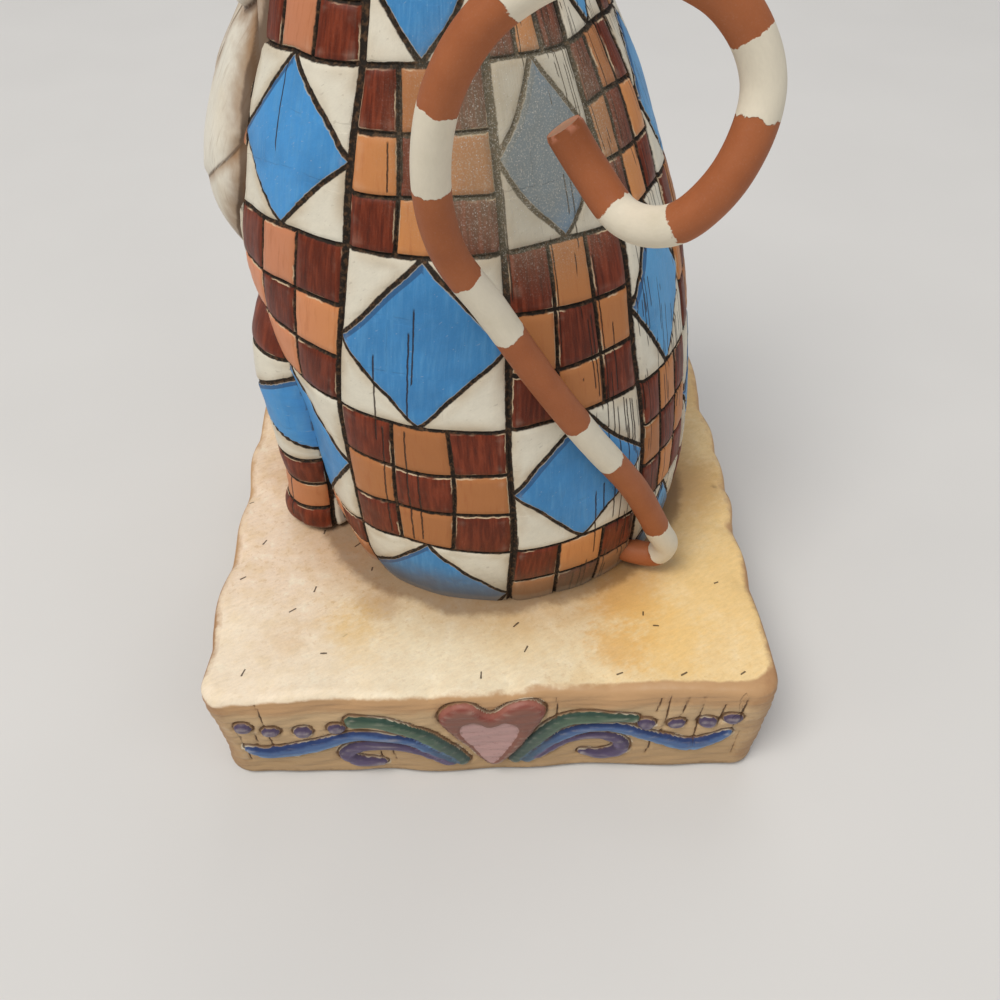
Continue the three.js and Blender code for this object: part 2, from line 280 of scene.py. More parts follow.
class FigurineSizes(bpy.types.PropertyGroup):
    """How boldly the figurine is carved."""

    seam_width: length_property("Seam width", "Width of the grooves between quilt columns", 1.2)
    line_width: length_property("Line width", "Width of the lines between single tiles", 0.8)
    seam_depth: length_property("Seam depth", "Depth of the grooves between quilt columns", 0.8)
    line_depth: length_property("Line depth", "Depth of the lines between single tiles", 0.5)
    tile_rise: length_property("Tile rise", "How far a diamond stands above its ground", 0.55)
    fur_depth: length_property("Fur depth", "How far a lock of chest fur is rounded", 1.5)
    stroke_rise: length_property("Stroke rise", "How far the scrolls stand off the plinth", 0.9)


class FigurineColours(bpy.types.PropertyGroup):
    """The figurine's paints."""

    cream: colour_property("Cream", "Ground of the diamond blocks", 226, 219, 200)
    dark: colour_property("Dark tile", "Brown of the corner and middle tiles", 98, 36, 16)
    dark_streak: colour_property("Tile streaks", "Lighter streaks in the brown tiles", 124, 52, 28)
    tan: colour_property("Tan tile", "Tan of the side tiles", 182, 117, 69)
    blue: colour_property("Diamond", "Blue of the diamonds", 62, 134, 190)
    groove: colour_property("Grooves", "Dark wash in seams and lines", 34, 26, 20)
    fur: colour_property("Fur", "White of the chest fur", 228, 222, 206)
    terracotta: colour_property("Terracotta", "Rod and back of the head", 160, 90, 50)
    band: colour_property("Band", "Off-white bands of the tail", 226, 216, 194)
    plinth: colour_property("Plinth", "Cream of the plinth", 238, 220, 182)
    heart: colour_property("Heart", "Mauve red of the heart", 134, 90, 76)
    heart_middle: colour_property("Heart middle", "Pink in the middle of the heart", 188, 150, 144)
    scroll_green: colour_property("Green scroll", "Green of the upper scrolls", 84, 104, 84)
    scroll_blue: colour_property("Blue scroll", "Blue of the long scrolls", 78, 104, 146)
    scroll_purple: colour_property("Purple scroll", "Purple of the curls and dots", 90, 78, 104)


# Meshes

def select_only(piece):
    """Leaves one object selected and active."""
    bpy.ops.object.select_all(action="DESELECT")
    piece.select_set(True)
    bpy.context.view_layer.objects.active = piece


def wave(places, lengths, seed):
    """Smooth unevenness between -1 and 1, from a few crossed sine waves of the given lengths."""
    total = 0
    for turn, length in enumerate(lengths):
        tilt = seed * 1.7 + turn * 2.1
        across = places @ np.array([math.cos(tilt), math.sin(tilt), math.sin(tilt * 1.3 + 1)])
        total = total + np.sin(2 * math.pi * across / length + seed * 3.1 + turn)
    return total / len(lengths)


def ease(value, low, high):
    """0 at low and 1 at high, with soft ends."""
    share = np.clip((value - low) / (high - low), 0, 1)
    return share * share * (3 - 2 * share)


def smooth_profile(levels, steps=40):
    """A list of levels as close samples of the smooth curve through them."""
    knots = np.array(levels, float)
    spans = len(knots) - 1
    place = np.linspace(0, spans, spans * steps + 1)
    index = np.minimum(place.astype(int), spans - 1)
    local = (place - index)[:, None]
    before, start, end, after = (knots[np.clip(index + step, 0, spans)] for step in (-1, 0, 1, 2))
    outgoing, incoming, rise = (end - before) / 2, (after - start) / 2, end - start
    bend = 3 * rise - 2 * outgoing - incoming
    return start + local * outgoing + local**2 * bend + local**3 * (outgoing + incoming - 2 * rise)


def sizes_at(profile, heights):
    """The other columns of a profile at the given heights."""
    return [np.interp(heights, profile[:, 0], column) for column in profile[:, 1:].T]


def oval_reach(bearing, front, rear, side):
    """How far an oval reaches from its middle in a direction."""
    long = np.where(np.cos(bearing) > 0, front, rear)
    return 1 / np.sqrt((np.cos(bearing) / long) ** 2 + (np.sin(bearing) / side) ** 2)


def in_world(places):
    """Places in the cat's own frame, in millimetres, as places of the row frame in metres."""
    cosine, sine = math.cos(CAT_HEADING), math.sin(CAT_HEADING)
    turn = np.array([[cosine, sine, 0], [-sine, cosine, 0], [0, 0, 1]])
    return (places @ turn + np.array(CAT_PLACE)) * MM


def in_cat(places):
    """Places of the row frame in metres as places in the cat's own frame, in millimetres."""
    cosine, sine = math.cos(CAT_HEADING), math.sin(CAT_HEADING)
    turn = np.array([[cosine, -sine, 0], [sine, cosine, 0], [0, 0, 1]])
    return (places / MM - np.array(CAT_PLACE)) @ turn


def closed_ends(rings):
    """Rings with the middle of the first and of the last one added, as rings in one point."""
    low, high = (np.broadcast_to(end.mean(0), rings[:1].shape) for end in (rings[0], rings[-1]))
    return np.concatenate([low, rings, high])


def skin(name, rings, maps=None, split=None, fields=None):
    """A closed surface through rings of points, shaped from a flat grid whose two ends meet.

    rings[r, c] are points in metres; the first and last ring each lie in one point. maps are
    UV maps, each with one pair of numbers for a grid point, the closing column too. split says
    which cells are cut from their far left to their near right corner. fields are numbers that
    the points keep.
    """
    count, around = rings.shape[:2]
    bpy.ops.object.select_all(action="DESELECT")
    bpy.ops.mesh.primitive_grid_add(x_subdivisions=around, y_subdivisions=count - 1, size=1)
    piece = bpy.context.object
    piece.name = piece.data.name = name
    mesh = piece.data
    closed = np.concatenate([rings, rings[:, :1]], axis=1)
    mesh.vertices.foreach_set("co", closed.reshape(-1).astype(np.float32))
    corners = np.zeros(len(mesh.loops), np.int32)
    mesh.loops.foreach_get("vertex_index", corners)
    while mesh.uv_layers:
        mesh.uv_layers.remove(mesh.uv_layers[0])
    for key, pairs in (maps or {}).items():
        layer = mesh.uv_layers.new(name=key)
        layer.uv.foreach_set("vector", pairs.reshape(-1, 2)[corners].reshape(-1))
    for key, field in (fields or {}).items():
        attribute = mesh.attributes.new(key, "FLOAT", "POINT")
        field = np.concatenate([field, field[:, :1]], axis=1)
        attribute.data.foreach_set("value", field.reshape(-1).astype(np.float32))
    if split is not None:
        cut_cells(piece, split)
    select_only(piece)
    bpy.ops.object.mode_set(mode="EDIT")
    bpy.ops.mesh.select_all(action="SELECT")
    bpy.ops.mesh.remove_doubles(threshold=1e-7)
    bpy.ops.object.mode_set(mode="OBJECT")
    return piece


def cut_cells(piece, split):
    """Turns every cell of a grid into two triangles, the way that split says."""
    select_only(piece)
    bpy.context.tool_settings.mesh_select_mode = (False, False, True)
    for wanted, method in ((split, "FIXED_ALTERNATE"), (~split, "FIXED")):
        quads = np.zeros(len(piece.data.polygons), np.int32)
        piece.data.polygons.foreach_get("loop_total", quads)
        chosen = quads == 4
        if method == "FIXED_ALTERNATE":
            chosen &= wanted.reshape(-1)
        piece.data.polygons.foreach_set("select", chosen)
        bpy.ops.object.mode_set(mode="EDIT")
        bpy.ops.mesh.quads_convert_to_tris(quad_method=method)
        bpy.ops.object.mode_set(mode="OBJECT")


def join_solids(base, *others):
    """Unites closed solids into one, which keeps the first one's name."""
    for other in others:
        for layer in base.data.uv_layers:
            if layer.name not in other.data.uv_layers:
                other.data.uv_layers.new(name=layer.name)
        select_only(base)
        union = base.modifiers.new("union", "BOOLEAN")
        union.operation = "UNION"
        union.solver = "MANIFOLD"
        union.object = other
        before = len(base.data.polygons)
        bpy.ops.object.modifier_apply(modifier=union.name)
        if len(base.data.polygons) < before / 2:
            raise RuntimeError(f"{other.name} could not be united with {base.name}")
        bpy.data.objects.remove(other)
    return base


def paint(piece, *materials):
    """Gives a piece its materials, the first one on every face."""
    piece.data.materials.clear()
    for material in materials:
        piece.data.materials.append(material)


def use_material(piece, number):
    """Gives every face of a piece one of its materials, by number."""
    piece.data.polygons.foreach_set("material_index", np.full(len(piece.data.polygons), number))


def point_values(points, key):
    """Triples that a mesh keeps for its points, such as their places, as an array."""
    triples = np.zeros(len(points) * 3, np.float32)
    points.foreach_get(key, triples)
    return triples.reshape(-1, 3).astype(float)


def mark_hollows(piece, spread=2):
    """Stores how far each point lies in a hollow (above 0) or on a ridge (below 0)."""
    mesh = piece.data
    places = point_values(mesh.vertices, "co")
    normals = point_values(mesh.vertex_normals, "vector")
    edges = np.zeros(len(mesh.edges) * 2, np.int32)
    mesh.edges.foreach_get("vertices", edges)
    near, far = edges.reshape(-1, 2).T
    count = np.bincount(near, minlength=len(places)) + np.bincount(far, minlength=len(places))

    def neighbours(values):
        """The mean of the values of the points round each point."""
        total = np.zeros_like(values)
        np.add.at(total, near, values[far])
        np.add.at(total, far, values[near])
        return total / count.reshape(-1, *[1] * (values.ndim - 1))

    lift = ((neighbours(places) - places) * normals).sum(1)
    reach = np.linalg.norm(places[far] - places[near], axis=1)
    step = np.bincount(near, reach, len(places)) + np.bincount(far, reach, len(places))
    hollow = np.clip(lift / (step / count), -0.5, 0.5) * 2
    for _ in range(spread):
        hollow = 0.5 * hollow + 0.5 * neighbours(hollow)
    attribute = mesh.attributes.new("hollow", "FLOAT", "POINT")
    attribute.data.foreach_set("value", hollow.astype(np.float32))


def hand_over(piece, node):
    """Puts a finished piece in the place of its CAD node."""
    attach(piece, "root")
    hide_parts(node)


# The quilt's lay on the body

def seam_bearings(heights):
    """The angle of every column seam from the middle of the back, at each height, in degrees."""
    over = heights - 60
    narrowing = -0.00342 * over - 0.0000245 * over**2
    return SEAM_ANGLES * (1 + SEAM_NARROWS * narrowing[:, None])


def quilt_place(columns, rows):
    """Angle from the back in degrees, and height, of each crossing of quilt columns and rows."""
    middle_height = np.interp(rows, np.arange(len(ROW_HEIGHTS)), ROW_HEIGHTS)
    away = np.abs(columns - 4)
    bearings = np.array([
        np.interp(away, np.arange(6), seams) for seams in seam_bearings(middle_height)])
    bearings = bearings * np.sign(columns - 4)
    height = middle_height[:, None] + np.zeros_like(bearings)
    flank = np.maximum(np.abs(bearings) - 112, 0)
    row = rows[:, None]
    height -= 0.09 * flank * ease(row, 2, 3)
    height -= 0.11 * np.maximum(np.abs(bearings) - 95, 0) * ease(row, 0.3, 1) * ease(row, 1.9, 1)
    sway = np.stack(np.broadcast_arrays(columns[None, :] * 9.0, row * 11.0, 0 * bearings), -1)
    bearings = bearings + 0.9 * wave(sway, (17, 9.5, 5.3), 1) * ease(away, 5, 4.8)
    height += 0.45 * wave(sway, (15, 8.1, 4.7), 2) * ease(row, 0.3, 0.6)
    return bearings, height


def quilt_relief(u, v, width, height, sizes):
    """How far the carved coat stands above its smooth form, in millimetres."""
    seam, line = sizes.seam_width / MM / 2, sizes.line_width / MM / 2
    across, up = u % 1, v % 1
    to_seam = np.minimum(across, 1 - across) * width
    to_row = np.minimum(up, 1 - up) * height
    thirds, rises = (3 * u) % 1, (3 * v) % 1
    to_line = np.minimum(np.minimum(thirds, 1 - thirds) * width,
                         np.minimum(rises, 1 - rises) * height) / 3
    nine = (np.floor(u) + np.floor(v)) % 2 < 0.5
    slope = np.sqrt(1 / width**2 + 1 / height**2)
    outside = (np.abs(across - 0.5) + np.abs(up - 0.5) - 0.5) / slope
    facet = np.where((across < 0.5) & (up > 0.5), 1.0, 0.6)
    diamond = ease(outside, -0.1, -0.1 - facet) * sizes.tile_rise / MM
    diamond -= (1 - ease(np.abs(outside), 0.05, 0.5)) * 0.35
    lines = -(1 - ease(to_line, line * 0.25, line * 1.15)) * sizes.line_depth / MM
    pillow = ease(to_line, line, 2.6) * 0.16
    relief = np.where(nine, lines + pillow, diamond)
    rows = -(1 - ease(to_row, line * 0.25, line * 1.2)) * sizes.line_depth / MM
    seams = -(1 - ease(to_seam, seam * 0.5, seam * 1.15)) * sizes.seam_depth / MM
    return np.minimum(np.minimum(relief, rows + 0.1), seams + 0.1)


def even_steps(count):
    """Quilt coordinates of the grid lines of some blocks, closer together beside the tile lines."""
    sixths = np.arange(count + 1) / CELLS * 6
    return (sixths - 0.42 * np.sin(2 * math.pi * sixths) / (2 * math.pi)) / 6


def make_body(sizes):
    """The body, one closed skin whose grid follows the quilt."""
    profile = smooth_profile(BODY)
    columns = even_steps(COLUMNS * CELLS) - 1
    rows = even_steps(6 * CELLS)
    rows = rows[(rows > 0.386) & (rows < 5.5)]
    bearings, height = quilt_place(columns, rows)
    height = np.maximum(height, np.linspace(0, 0.3, len(rows))[:, None])
    height[0] = 0
    lean, front, rear, side = sizes_at(profile, height)
    bearing = np.radians(bearings + 180)
    reach = oval_reach(bearing, front, rear, side)
    u, v = np.broadcast_arrays(columns, rows[:, None])
    column_steps = np.gradient(np.radians(bearings), axis=1) * reach / np.gradient(columns)
    row_steps = np.gradient(height, axis=0) / np.gradient(rows)[:, None]
    width = np.maximum(block_mean(column_steps, columns, 1), 1)
    tall = np.maximum(block_mean(row_steps, rows, 0), 1)
    places = np.stack([lean + reach * np.cos(bearing), reach * np.sin(bearing), height], -1)
    stand = reach + quilt_relief(u, v, width, tall, sizes) + 0.16 * wave(places, (14, 9), 4)
    stand += 0.05 * wave(places, (3.1, 2.3, 4.4), 5)
    places[..., 0] = lean + stand * np.cos(bearing)
    places[..., 1] = stand * np.sin(bearing)
    points = closed_ends(places)
    quilt = np.stack([u, v], -1)
    span = np.stack([width, tall], -1)
    layers = {key: np.concatenate([layer[:1], layer, layer[-1:]])
              for key, layer in (("quilt", quilt), ("span", span))}
    middle_u = (u[:-1, :-1] + u[1:, 1:]) / 2 % 1 < 0.5
    middle_v = (v[:-1, :-1] + v[1:, 1:]) / 2 % 1 < 0.5
    split = np.pad(middle_u == middle_v, ((1, 1), (0, 0)))
    return skin("patchwork_cat", in_world(points[:, :-1]), layers, split)


def block_mean(steps, lines, axis):
    """Evens out a size that jumps from block to block, so that each block has its own mean."""
    evened = np.array(steps)
    block = np.floor(lines + 1e-9)
    for one in np.unique(block):
        inside = np.flatnonzero((block == one))
        part = np.take(steps, inside, axis)
        mean = part.mean(axis, keepdims=True)
        if axis:
            evened[:, inside] = mean
        else:
            evened[inside, :] = mean
    return evened


def quilt_on(places, rows=ROW_HEIGHTS):
    """Quilt coordinates and block sizes of places in the cat's frame that stand off the body."""
    profile = smooth_profile(BODY)
    lean = sizes_at(profile, places[:, 2])[0]
    reach = np.hypot(places[:, 0] - lean, places[:, 1])
    bearing = np.degrees(np.arctan2(places[:, 1], places[:, 0] - lean)) - 180
    bearing = (bearing + 180) % 360 - 180
    seams = seam_bearings(places[:, 2])
    away = np.array([np.interp(abs(one), row, np.arange(6)) for one, row in zip(bearing, seams)])
    u = 4 + np.sign(bearing) * away
    v = np.interp(places[:, 2], rows, np.arange(len(rows)))
    whole = np.clip(np.floor(away), 0, 4).astype(int)
    pick = np.arange(len(places))
    width = np.radians(seams[pick, whole + 1] - seams[pick, whole]) * reach
    tall = np.diff(rows)[np.clip(np.floor(v), 0, len(rows) - 2).astype(int)]
    return u, v, width, tall


def make_leg(side_sign, sizes):
    """A front leg with its round paw; the quilt runs on over it."""
    profile = smooth_profile(LEG)
    heights = np.concatenate([np.linspace(0, 9, 20), np.linspace(9.45, 65.8, 96)])
    forward, front, rear, side, inset = sizes_at(profile, heights)
    inner_side = -side_sign * math.radians(95)
    bearing = np.linspace(inner_side, inner_side + 2 * math.pi, 85)
    reach = oval_reach(bearing, front[:, None], rear[:, None], side[:, None])
    toes = 0.55 * np.clip(np.cos(bearing), 0, 1) ** 2 * np.abs(np.sin(3 * bearing)) ** 0.5
    reach = reach + (toes - 0.3) * ease(heights, 5.5, 2.5)[:, None] * (np.cos(bearing) > 0.2)
    reach -= (0.9 * ease(heights, 1.4, 0))[:, None]
    x = (LEG_FORWARD + forward)[:, None] + reach * np.cos(bearing)
    y = (side_sign * LEG_ASIDE * inset)[:, None] + reach * np.sin(bearing)
    places = np.stack([x, y, heights[:, None] + 0 * x], -1)
    u, v, width, tall = quilt_on(places.reshape(-1, 3), LEG_ROWS)
    u = np.where(u < 4, np.where(u > 0, u * 0.72, u), np.where(u < 8, 8 - (8 - u) * 0.72, u))
    outward = np.degrees(side_sign * bearing) + (0 if side_sign > 0 else 360)
    on_foot = np.broadcast_to(LEG_SEAM + (outward - 133) / 360, x.shape).reshape(-1)
    u = np.where(v < 1, on_foot, u)
    width = np.where(v < 1, 2 * math.pi * LEG[4][2], width)
    relief = quilt_relief(u, v, width, tall, sizes).reshape(x.shape)
    relief = relief + 0.1 * wave(places, (12, 7), 6)
    places[..., 0] += relief * np.cos(bearing)
    places[..., 1] += relief * np.sin(bearing)
    points = closed_ends(places)
    layers = {}
    for key, first, second in (("quilt", u, v), ("span", width, tall)):
        layer = np.stack([first.reshape(x.shape), second.reshape(x.shape)], -1)
        layers[key] = np.concatenate([layer[:1], layer, layer[-1:]])
    return skin("leg", in_world(points[:, :-1]), layers)


def lock_relief(across, height):
    """Overlapping locks of fur: how proud they stand, how far off the nearest outline of a lock
    is, and how far below the tip or side of an upper lock a place lies."""
    across = across + 1.1 * np.sin(height / 6.5)
    relief = np.full(across.shape, -0.9)
    edge, under = np.full(across.shape, 4.0), np.full(across.shape, 4.0)
    for number, (tip_aside, tip, root_aside, root, bend, half_width) in enumerate(LOCKS):
        share = (height - tip) / (root - tip)
        middle = tip_aside + (root_aside - tip_aside) * share + bend * np.sin(math.pi * share)
        half = half_width * np.sin(math.pi / 2 * np.clip(share * 1.9, 0.001, 1)) ** 0.8
        for side_sign in (-1, 1):
            aside = side_sign * across - middle
            inward = np.where(share > 0, half - np.abs(aside), -np.hypot(aside, tip - height))
            inside = (inward > 0) & (share < 1)
            off = np.clip(aside / half, -1, 1)
            stand = 1.5 * np.sqrt(1 - off**2) + 1.3 * (1 - share) - 0.9
            stand += 0.1 * np.sin(off * 8 + share * 6 + number) + 0.05 * np.sin(off * 19 + share * 9)
            over = ease(inward, 0, 1.6) * ease(share, 1, 0.8)
            relief = np.where(inside, relief + (stand - relief) * over, relief)
            near = np.abs(inward) + np.maximum(share - 0.8, 0) * 15
            edge = np.where(inside, near, np.minimum(edge, near))
            under = np.where(inside, 4, np.minimum(under, near))
    return relief, edge, under


def softened(field):
    """Numbers on a grid, each evened out with its four neighbours."""
    field = np.pad(field, 1, mode="edge")
    beside = field[1:-1, :-2] + field[1:-1, 2:] + field[:-2, 1:-1] + field[2:, 1:-1]
    return field[1:-1, 1:-1] / 2 + beside / 8


def make_bib(sizes):
    """The chest fur: a shield on the chest, carved in overlapping locks."""
    profile = smooth_profile(BODY)
    heights = np.linspace(BIB_TIP, BIB_TOP, 140)
    share = (heights - BIB_TIP) / (BIB_TOP - BIB_TIP)
    lean, front, rear, side = sizes_at(profile, heights)
    proud = BIB_PROUD * np.sin(math.pi * (0.12 + share * 0.84)) - 1
    width = BIB_HALF_WIDTH * np.sin(math.pi / 2 * np.minimum(0.2 + share * 1.9, 1))
    width *= 1 - 0.155 * ease(heights, 64, 82)
    middle = (lean + front + proud - BIB_DEPTH)[:, None]
    seen = math.radians(108)
    bearing = np.concatenate([
        np.linspace(-math.pi, -seen, 9), np.linspace(-seen, seen, 141)[1:], np.linspace(seen, math.pi, 9)[1:]])
    across = 0.3 * width[:, None] / BIB_HALF_WIDTH * np.degrees(bearing)
    relief, edge, under = lock_relief(across, heights[:, None] + 0 * across)
    relief = softened(softened(softened(relief))) * sizes.fur_depth / MM / 1.5
    relief = relief * ease(np.cos(bearing), -0.5, 0.1) * ease(share, 0, 0.06)[:, None]
    x = middle + (BIB_DEPTH + relief) * np.cos(bearing)
    y = (width[:, None] + 0.7 * relief) * np.sin(bearing)
    places = np.stack([x, y, heights[:, None] + 0 * x], -1)
    forward = x - lean[:, None]
    coat = oval_reach(np.arctan2(y, forward), front[:, None], rear[:, None], side[:, None])
    layers = {}
    for key, pair in (("quilt", (edge, under)), ("span", (np.hypot(forward, y) - coat, across))):
        layer = np.stack(pair, -1)
        layers[key] = np.concatenate([layer[:1], layer, layer[-1:]])
    return skin("bib", in_world(closed_ends(places)[:, :-1]), layers)


def make_body_parts(sizes):
    """The body, both front legs and the chest fur, united."""
    cat = make_body(sizes)
    legs = [make_leg(side_sign, sizes) for side_sign in (-1, 1)]
    bib = make_bib(sizes)
    for piece, number in ((cat, COAT), (legs[0], COAT), (legs[1], COAT), (bib, FUR)):
        paint(piece, *map(material_named, CAT_MATERIALS))
        use_material(piece, number)
    return join_solids(cat, *legs, bib)


# The head

def ball(half, middle, turn=0):
    """A ball stretched to three half sizes, turned about its upright, in the cat's frame."""
    bpy.ops.object.select_all(action="DESELECT")
    bpy.ops.mesh.primitive_uv_sphere_add(
        segments=40, ring_count=24, radius=1, location=in_world(np.array(middle, float)),
        rotation=(0, 0, CAT_HEADING + turn), scale=[size * MM for size in half])
    bpy.ops.object.transform_apply()
    return bpy.context.object


def make_skull():
    """The bare head: a closed skin through its levels."""
    profile = smooth_profile(HEAD)
    heights = np.linspace(HEAD[0][0], HEAD[-1][0], 64)
    lean, front, rear, side = sizes_at(profile, heights)
    bearing = np.linspace(0, 2 * math.pi, 97)
    reach = oval_reach(bearing, front[:, None], rear[:, None], side[:, None])
    x = lean[:, None] + reach * np.cos(bearing)
    places = np.stack([x, reach * np.sin(bearing), heights[:, None] + 0 * x], -1)
    return skin("head", in_world(closed_ends(places)[:, :-1]))


def make_ear(side_sign):
    """An ear: a flattened cone, hollow in front, that leans out and turns a little aside."""
    rise = np.linspace(0, 1, 40)
    knots = np.array(EAR_TAPER)
    depth = EAR_HALF_DEPTH * np.interp(rise, knots[:, 0], knots[:, 1])[:, None]
    width = EAR_HALF_WIDTH * np.interp(rise, knots[:, 0], knots[:, 2])[:, None]
    bearing = np.linspace(0, 2 * math.pi, 73)
    hollow = ease(rise, 0.06, 0.22)[:, None]
    front = depth * (1 - 1.3 * hollow) + 0.5 * hollow
    x = np.where(np.cos(bearing) > 0, front, depth) * np.cos(bearing)
    y = width * np.sin(bearing)
    z = (EAR_TIP - EAR_BASE) * (rise - 0.12)[:, None] * 1.08 + 0 * x
    lean = Matrix.Rotation(-side_sign * EAR_LEAN, 3, "X")
    turned = np.array(lean @ Matrix.Rotation(side_sign * EAR_TURN, 3, "Z"))
    places = np.stack([x, y, z], -1) @ turned.T
    places += np.array([EAR_FORWARD, side_sign * EAR_ASIDE, EAR_BASE])
    return skin("ear", in_world(closed_ends(places)[:, :-1]))


def face_relief(places):
    """Eyelids, mouth, nostrils and strokes of fur, as heights above the smooth head."""
    x, y, z = places.T
    aside = np.abs(y)
    across, up = eye_offsets(x, aside, z)
    eye = np.hypot(across / 4.5, (up + 0.04 * across**2) / 3.1)
    in_front = ease(x, 22, 26)
    lids = 0.7 * np.exp(-((eye - 1.14) / 0.17) ** 2)
    lids -= 0.35 * np.exp(-((eye - 0.93) / 0.08) ** 2)
    smile = 114.2 - 0.62 * aside + 0.085 * aside**2
    mouth = -0.8 * np.exp(-((z - smile) / 0.5) ** 2) * ease(aside, 8, 6.4)
    cleft = -0.7 * np.exp(-(y / 0.45) ** 2) * ease(z, 113.6, 114.4) * ease(z, 119.4, 118)
    nostril = -0.5 * np.exp(-((aside - 1.5) ** 2 + (z - 119.4) ** 2) / 0.4)
    face = (lids + mouth + cleft + nostril) * in_front
    bearing = np.arctan2(z - 122, y)
    reach = np.hypot(z - 122, y)
    strokes = np.sin(44 * bearing + 1.6 * np.sin(reach / 2.7) + 0.5 * x)
    strokes *= 0.15 * ease(reach, 5, 9) * (1 - in_front * ease(eye, 1.6, 1.3))
    return face + strokes * (0.5 + 0.5 * np.sin(x / 2.3 + 5 * bearing))


def eye_offsets(x, aside, z):
    """How far places lie across and above the middle of an eye, along its turned face."""
    forward, out, height = EYE[1]
    across = (aside - out) * math.cos(EYE_TURN) - (x - forward) * math.sin(EYE_TURN)
    return across, z - height


def make_head():
    """The head: skull, muzzle, eyes and ears, melted together and then carved."""
    features = [make_skull(), ball(*NOSE_BRIDGE), ball(*CHIN), ball(*NOSE)]
    for side_sign in (-1, 1):
        for half, (forward, out, height), turn in ((*WHISKER_PAD, 0), (*EYE, EYE_TURN)):
            features.append(ball(half, (forward, side_sign * out, height), side_sign * turn))
        features.append(make_ear(side_sign))
    select_only(features[0])
    for feature in features[1:]:
        feature.select_set(True)
    bpy.ops.object.join()
    head = bpy.context.object
    head.data.remesh_voxel_size = HEAD_VOXEL
    bpy.ops.object.voxel_remesh()
    smoothing = head.modifiers.new("soften", "SMOOTH")
    smoothing.iterations = 5
    bpy.ops.object.modifier_apply(modifier=smoothing.name)
    mesh = head.data
    places = point_values(mesh.vertices, "co")
    normals = point_values(mesh.vertex_normals, "vector")
    places += normals * face_relief(in_cat(places))[:, None] * MM
    mesh.vertices.foreach_set("co", places.reshape(-1).astype(np.float32))
    for key in ("quilt", "span"):
        mesh.uv_layers.new(name=key)
    paint(head, *map(material_named, CAT_MATERIALS))
    use_material(head, FACE)
    return head


# The tail

def rod_line(step):
    """Places at even steps along the tail's middle line, and how far along each one is."""
    route = np.array(TAIL_ROUTE, float)
    route = np.vstack([2 * route[0] - route[1], route, 2 * route[-1] - route[-2]])
    share = np.linspace(0, 1, 41)[:, None]
    line = [route[1:2]]
    for before, start, end, after in zip(route, route[1:], route[2:], route[3:]):
        first, middle, last = (
            math.sqrt(np.linalg.norm(far - near))
            for near, far in ((before, start), (start, end), (end, after)))
        leaving = (start - before) / first - (end - before) / (first + middle)
        leaving = (leaving + (end - start) / middle) * middle
        coming = (end - start) / middle - (after - start) / (middle + last)
        coming = (coming + (after - end) / last) * middle
        bend = 3 * (end - start) - 2 * leaving - coming
        twist = 2 * (start - end) + leaving + coming
        line.append((start + share * leaving + share**2 * bend + share**3 * twist)[1:])
    line = np.concatenate(line)
    along = np.concatenate([[0], np.cumsum(np.linalg.norm(np.diff(line, axis=0), axis=1))])
    even = np.linspace(0, along[-1], round(along[-1] / step) + 1)
    return np.stack([np.interp(even, along, part) for part in line.T], -1), even


def make_tail():
    """The bent rod, whose UV map tells how far along and how far round each point is."""
    line, along = rod_line(0.5)
    heading = np.gradient(line, axis=0)
    heading /= np.linalg.norm(heading, axis=1)[:, None]
    side = np.cross(heading[0], (0, 0, 1))
    sides = []
    for one in heading:
        side = side - one * (side @ one)
        side /= np.linalg.norm(side)
        sides.append(side)
    sides = np.array(sides)
    others = np.cross(heading, sides)
    turn = np.linspace(0, 2 * math.pi, 41)
    around = sides[:, None] * np.cos(turn)[:, None] + others[:, None] * np.sin(turn)[:, None]
    edge = np.minimum(along, along[-1] - along)
    radius = ROD_RADIUS - 0.2 * (1 - ease(edge, 0, 0.4))
    rough = ROD_RADIUS * around + line[:, None]
    reach = radius[:, None] + 0.03 * wave(rough, (11, 6.5, 3.2), 7)
    rings = line[:, None] + around * reach[..., None]
    inner = [line[end] + 0.6 * (rings[end] - line[end]) for end in (0, -1)]
    tips = [line[end] + 0 * rings[end] for end in (0, -1)]
    rings = np.concatenate([tips[:1], inner[:1], rings, inner[1:], tips[1:]])
    rings[..., 2] += CAT_PLACE[2]
    lengths = np.pad(along, 2, mode="edge")
    lengths[[0, 1]] -= (2, 1)
    lengths[[-2, -1]] += (1, 2)
    rod = np.stack(np.broadcast_arrays(turn / (2 * math.pi), lengths[:, None]), -1)
    return skin("banded_tail", rings[:, :-1] * MM, {"rod": rod})


# The plinth

def plinth_ring(inset, height):
    """One outline of the plinth: its points, which way they face, and their place on a face."""
    half = PLINTH_SIDE / 2 - inset
    rows = []
    for face, steps in enumerate(FACE_STEPS):
        turn = np.concatenate([np.arange(8) / 8, np.ones(steps)]) * math.pi / 2
        run = np.concatenate([np.zeros(8), np.arange(steps) / steps])
        x = half - PLINTH_CORNER * (1 - np.cos(turn)) - run * 2 * (half - PLINTH_CORNER)
        y = half - PLINTH_CORNER * (1 - np.sin(turn))
        quarter = np.array(Matrix.Rotation(face * math.pi / 2, 2))
        points = np.stack([x, y], -1) @ quarter.T
        facing = np.stack([np.cos(turn), np.sin(turn)], -1) @ quarter.T
        rows.append(np.column_stack([points, facing, np.full(len(x), face), -x]))
    rows = np.concatenate(rows)
    bearing = np.arctan2(rows[:, 1], rows[:, 0])
    edge_wave = np.sin(7 * bearing + 0.8) + 0.6 * np.sin(17 * bearing + height / 9)
    rows[:, :2] *= (1 - EDGE_WAVE * (1.2 - edge_wave) / half)[:, None]
    return rows


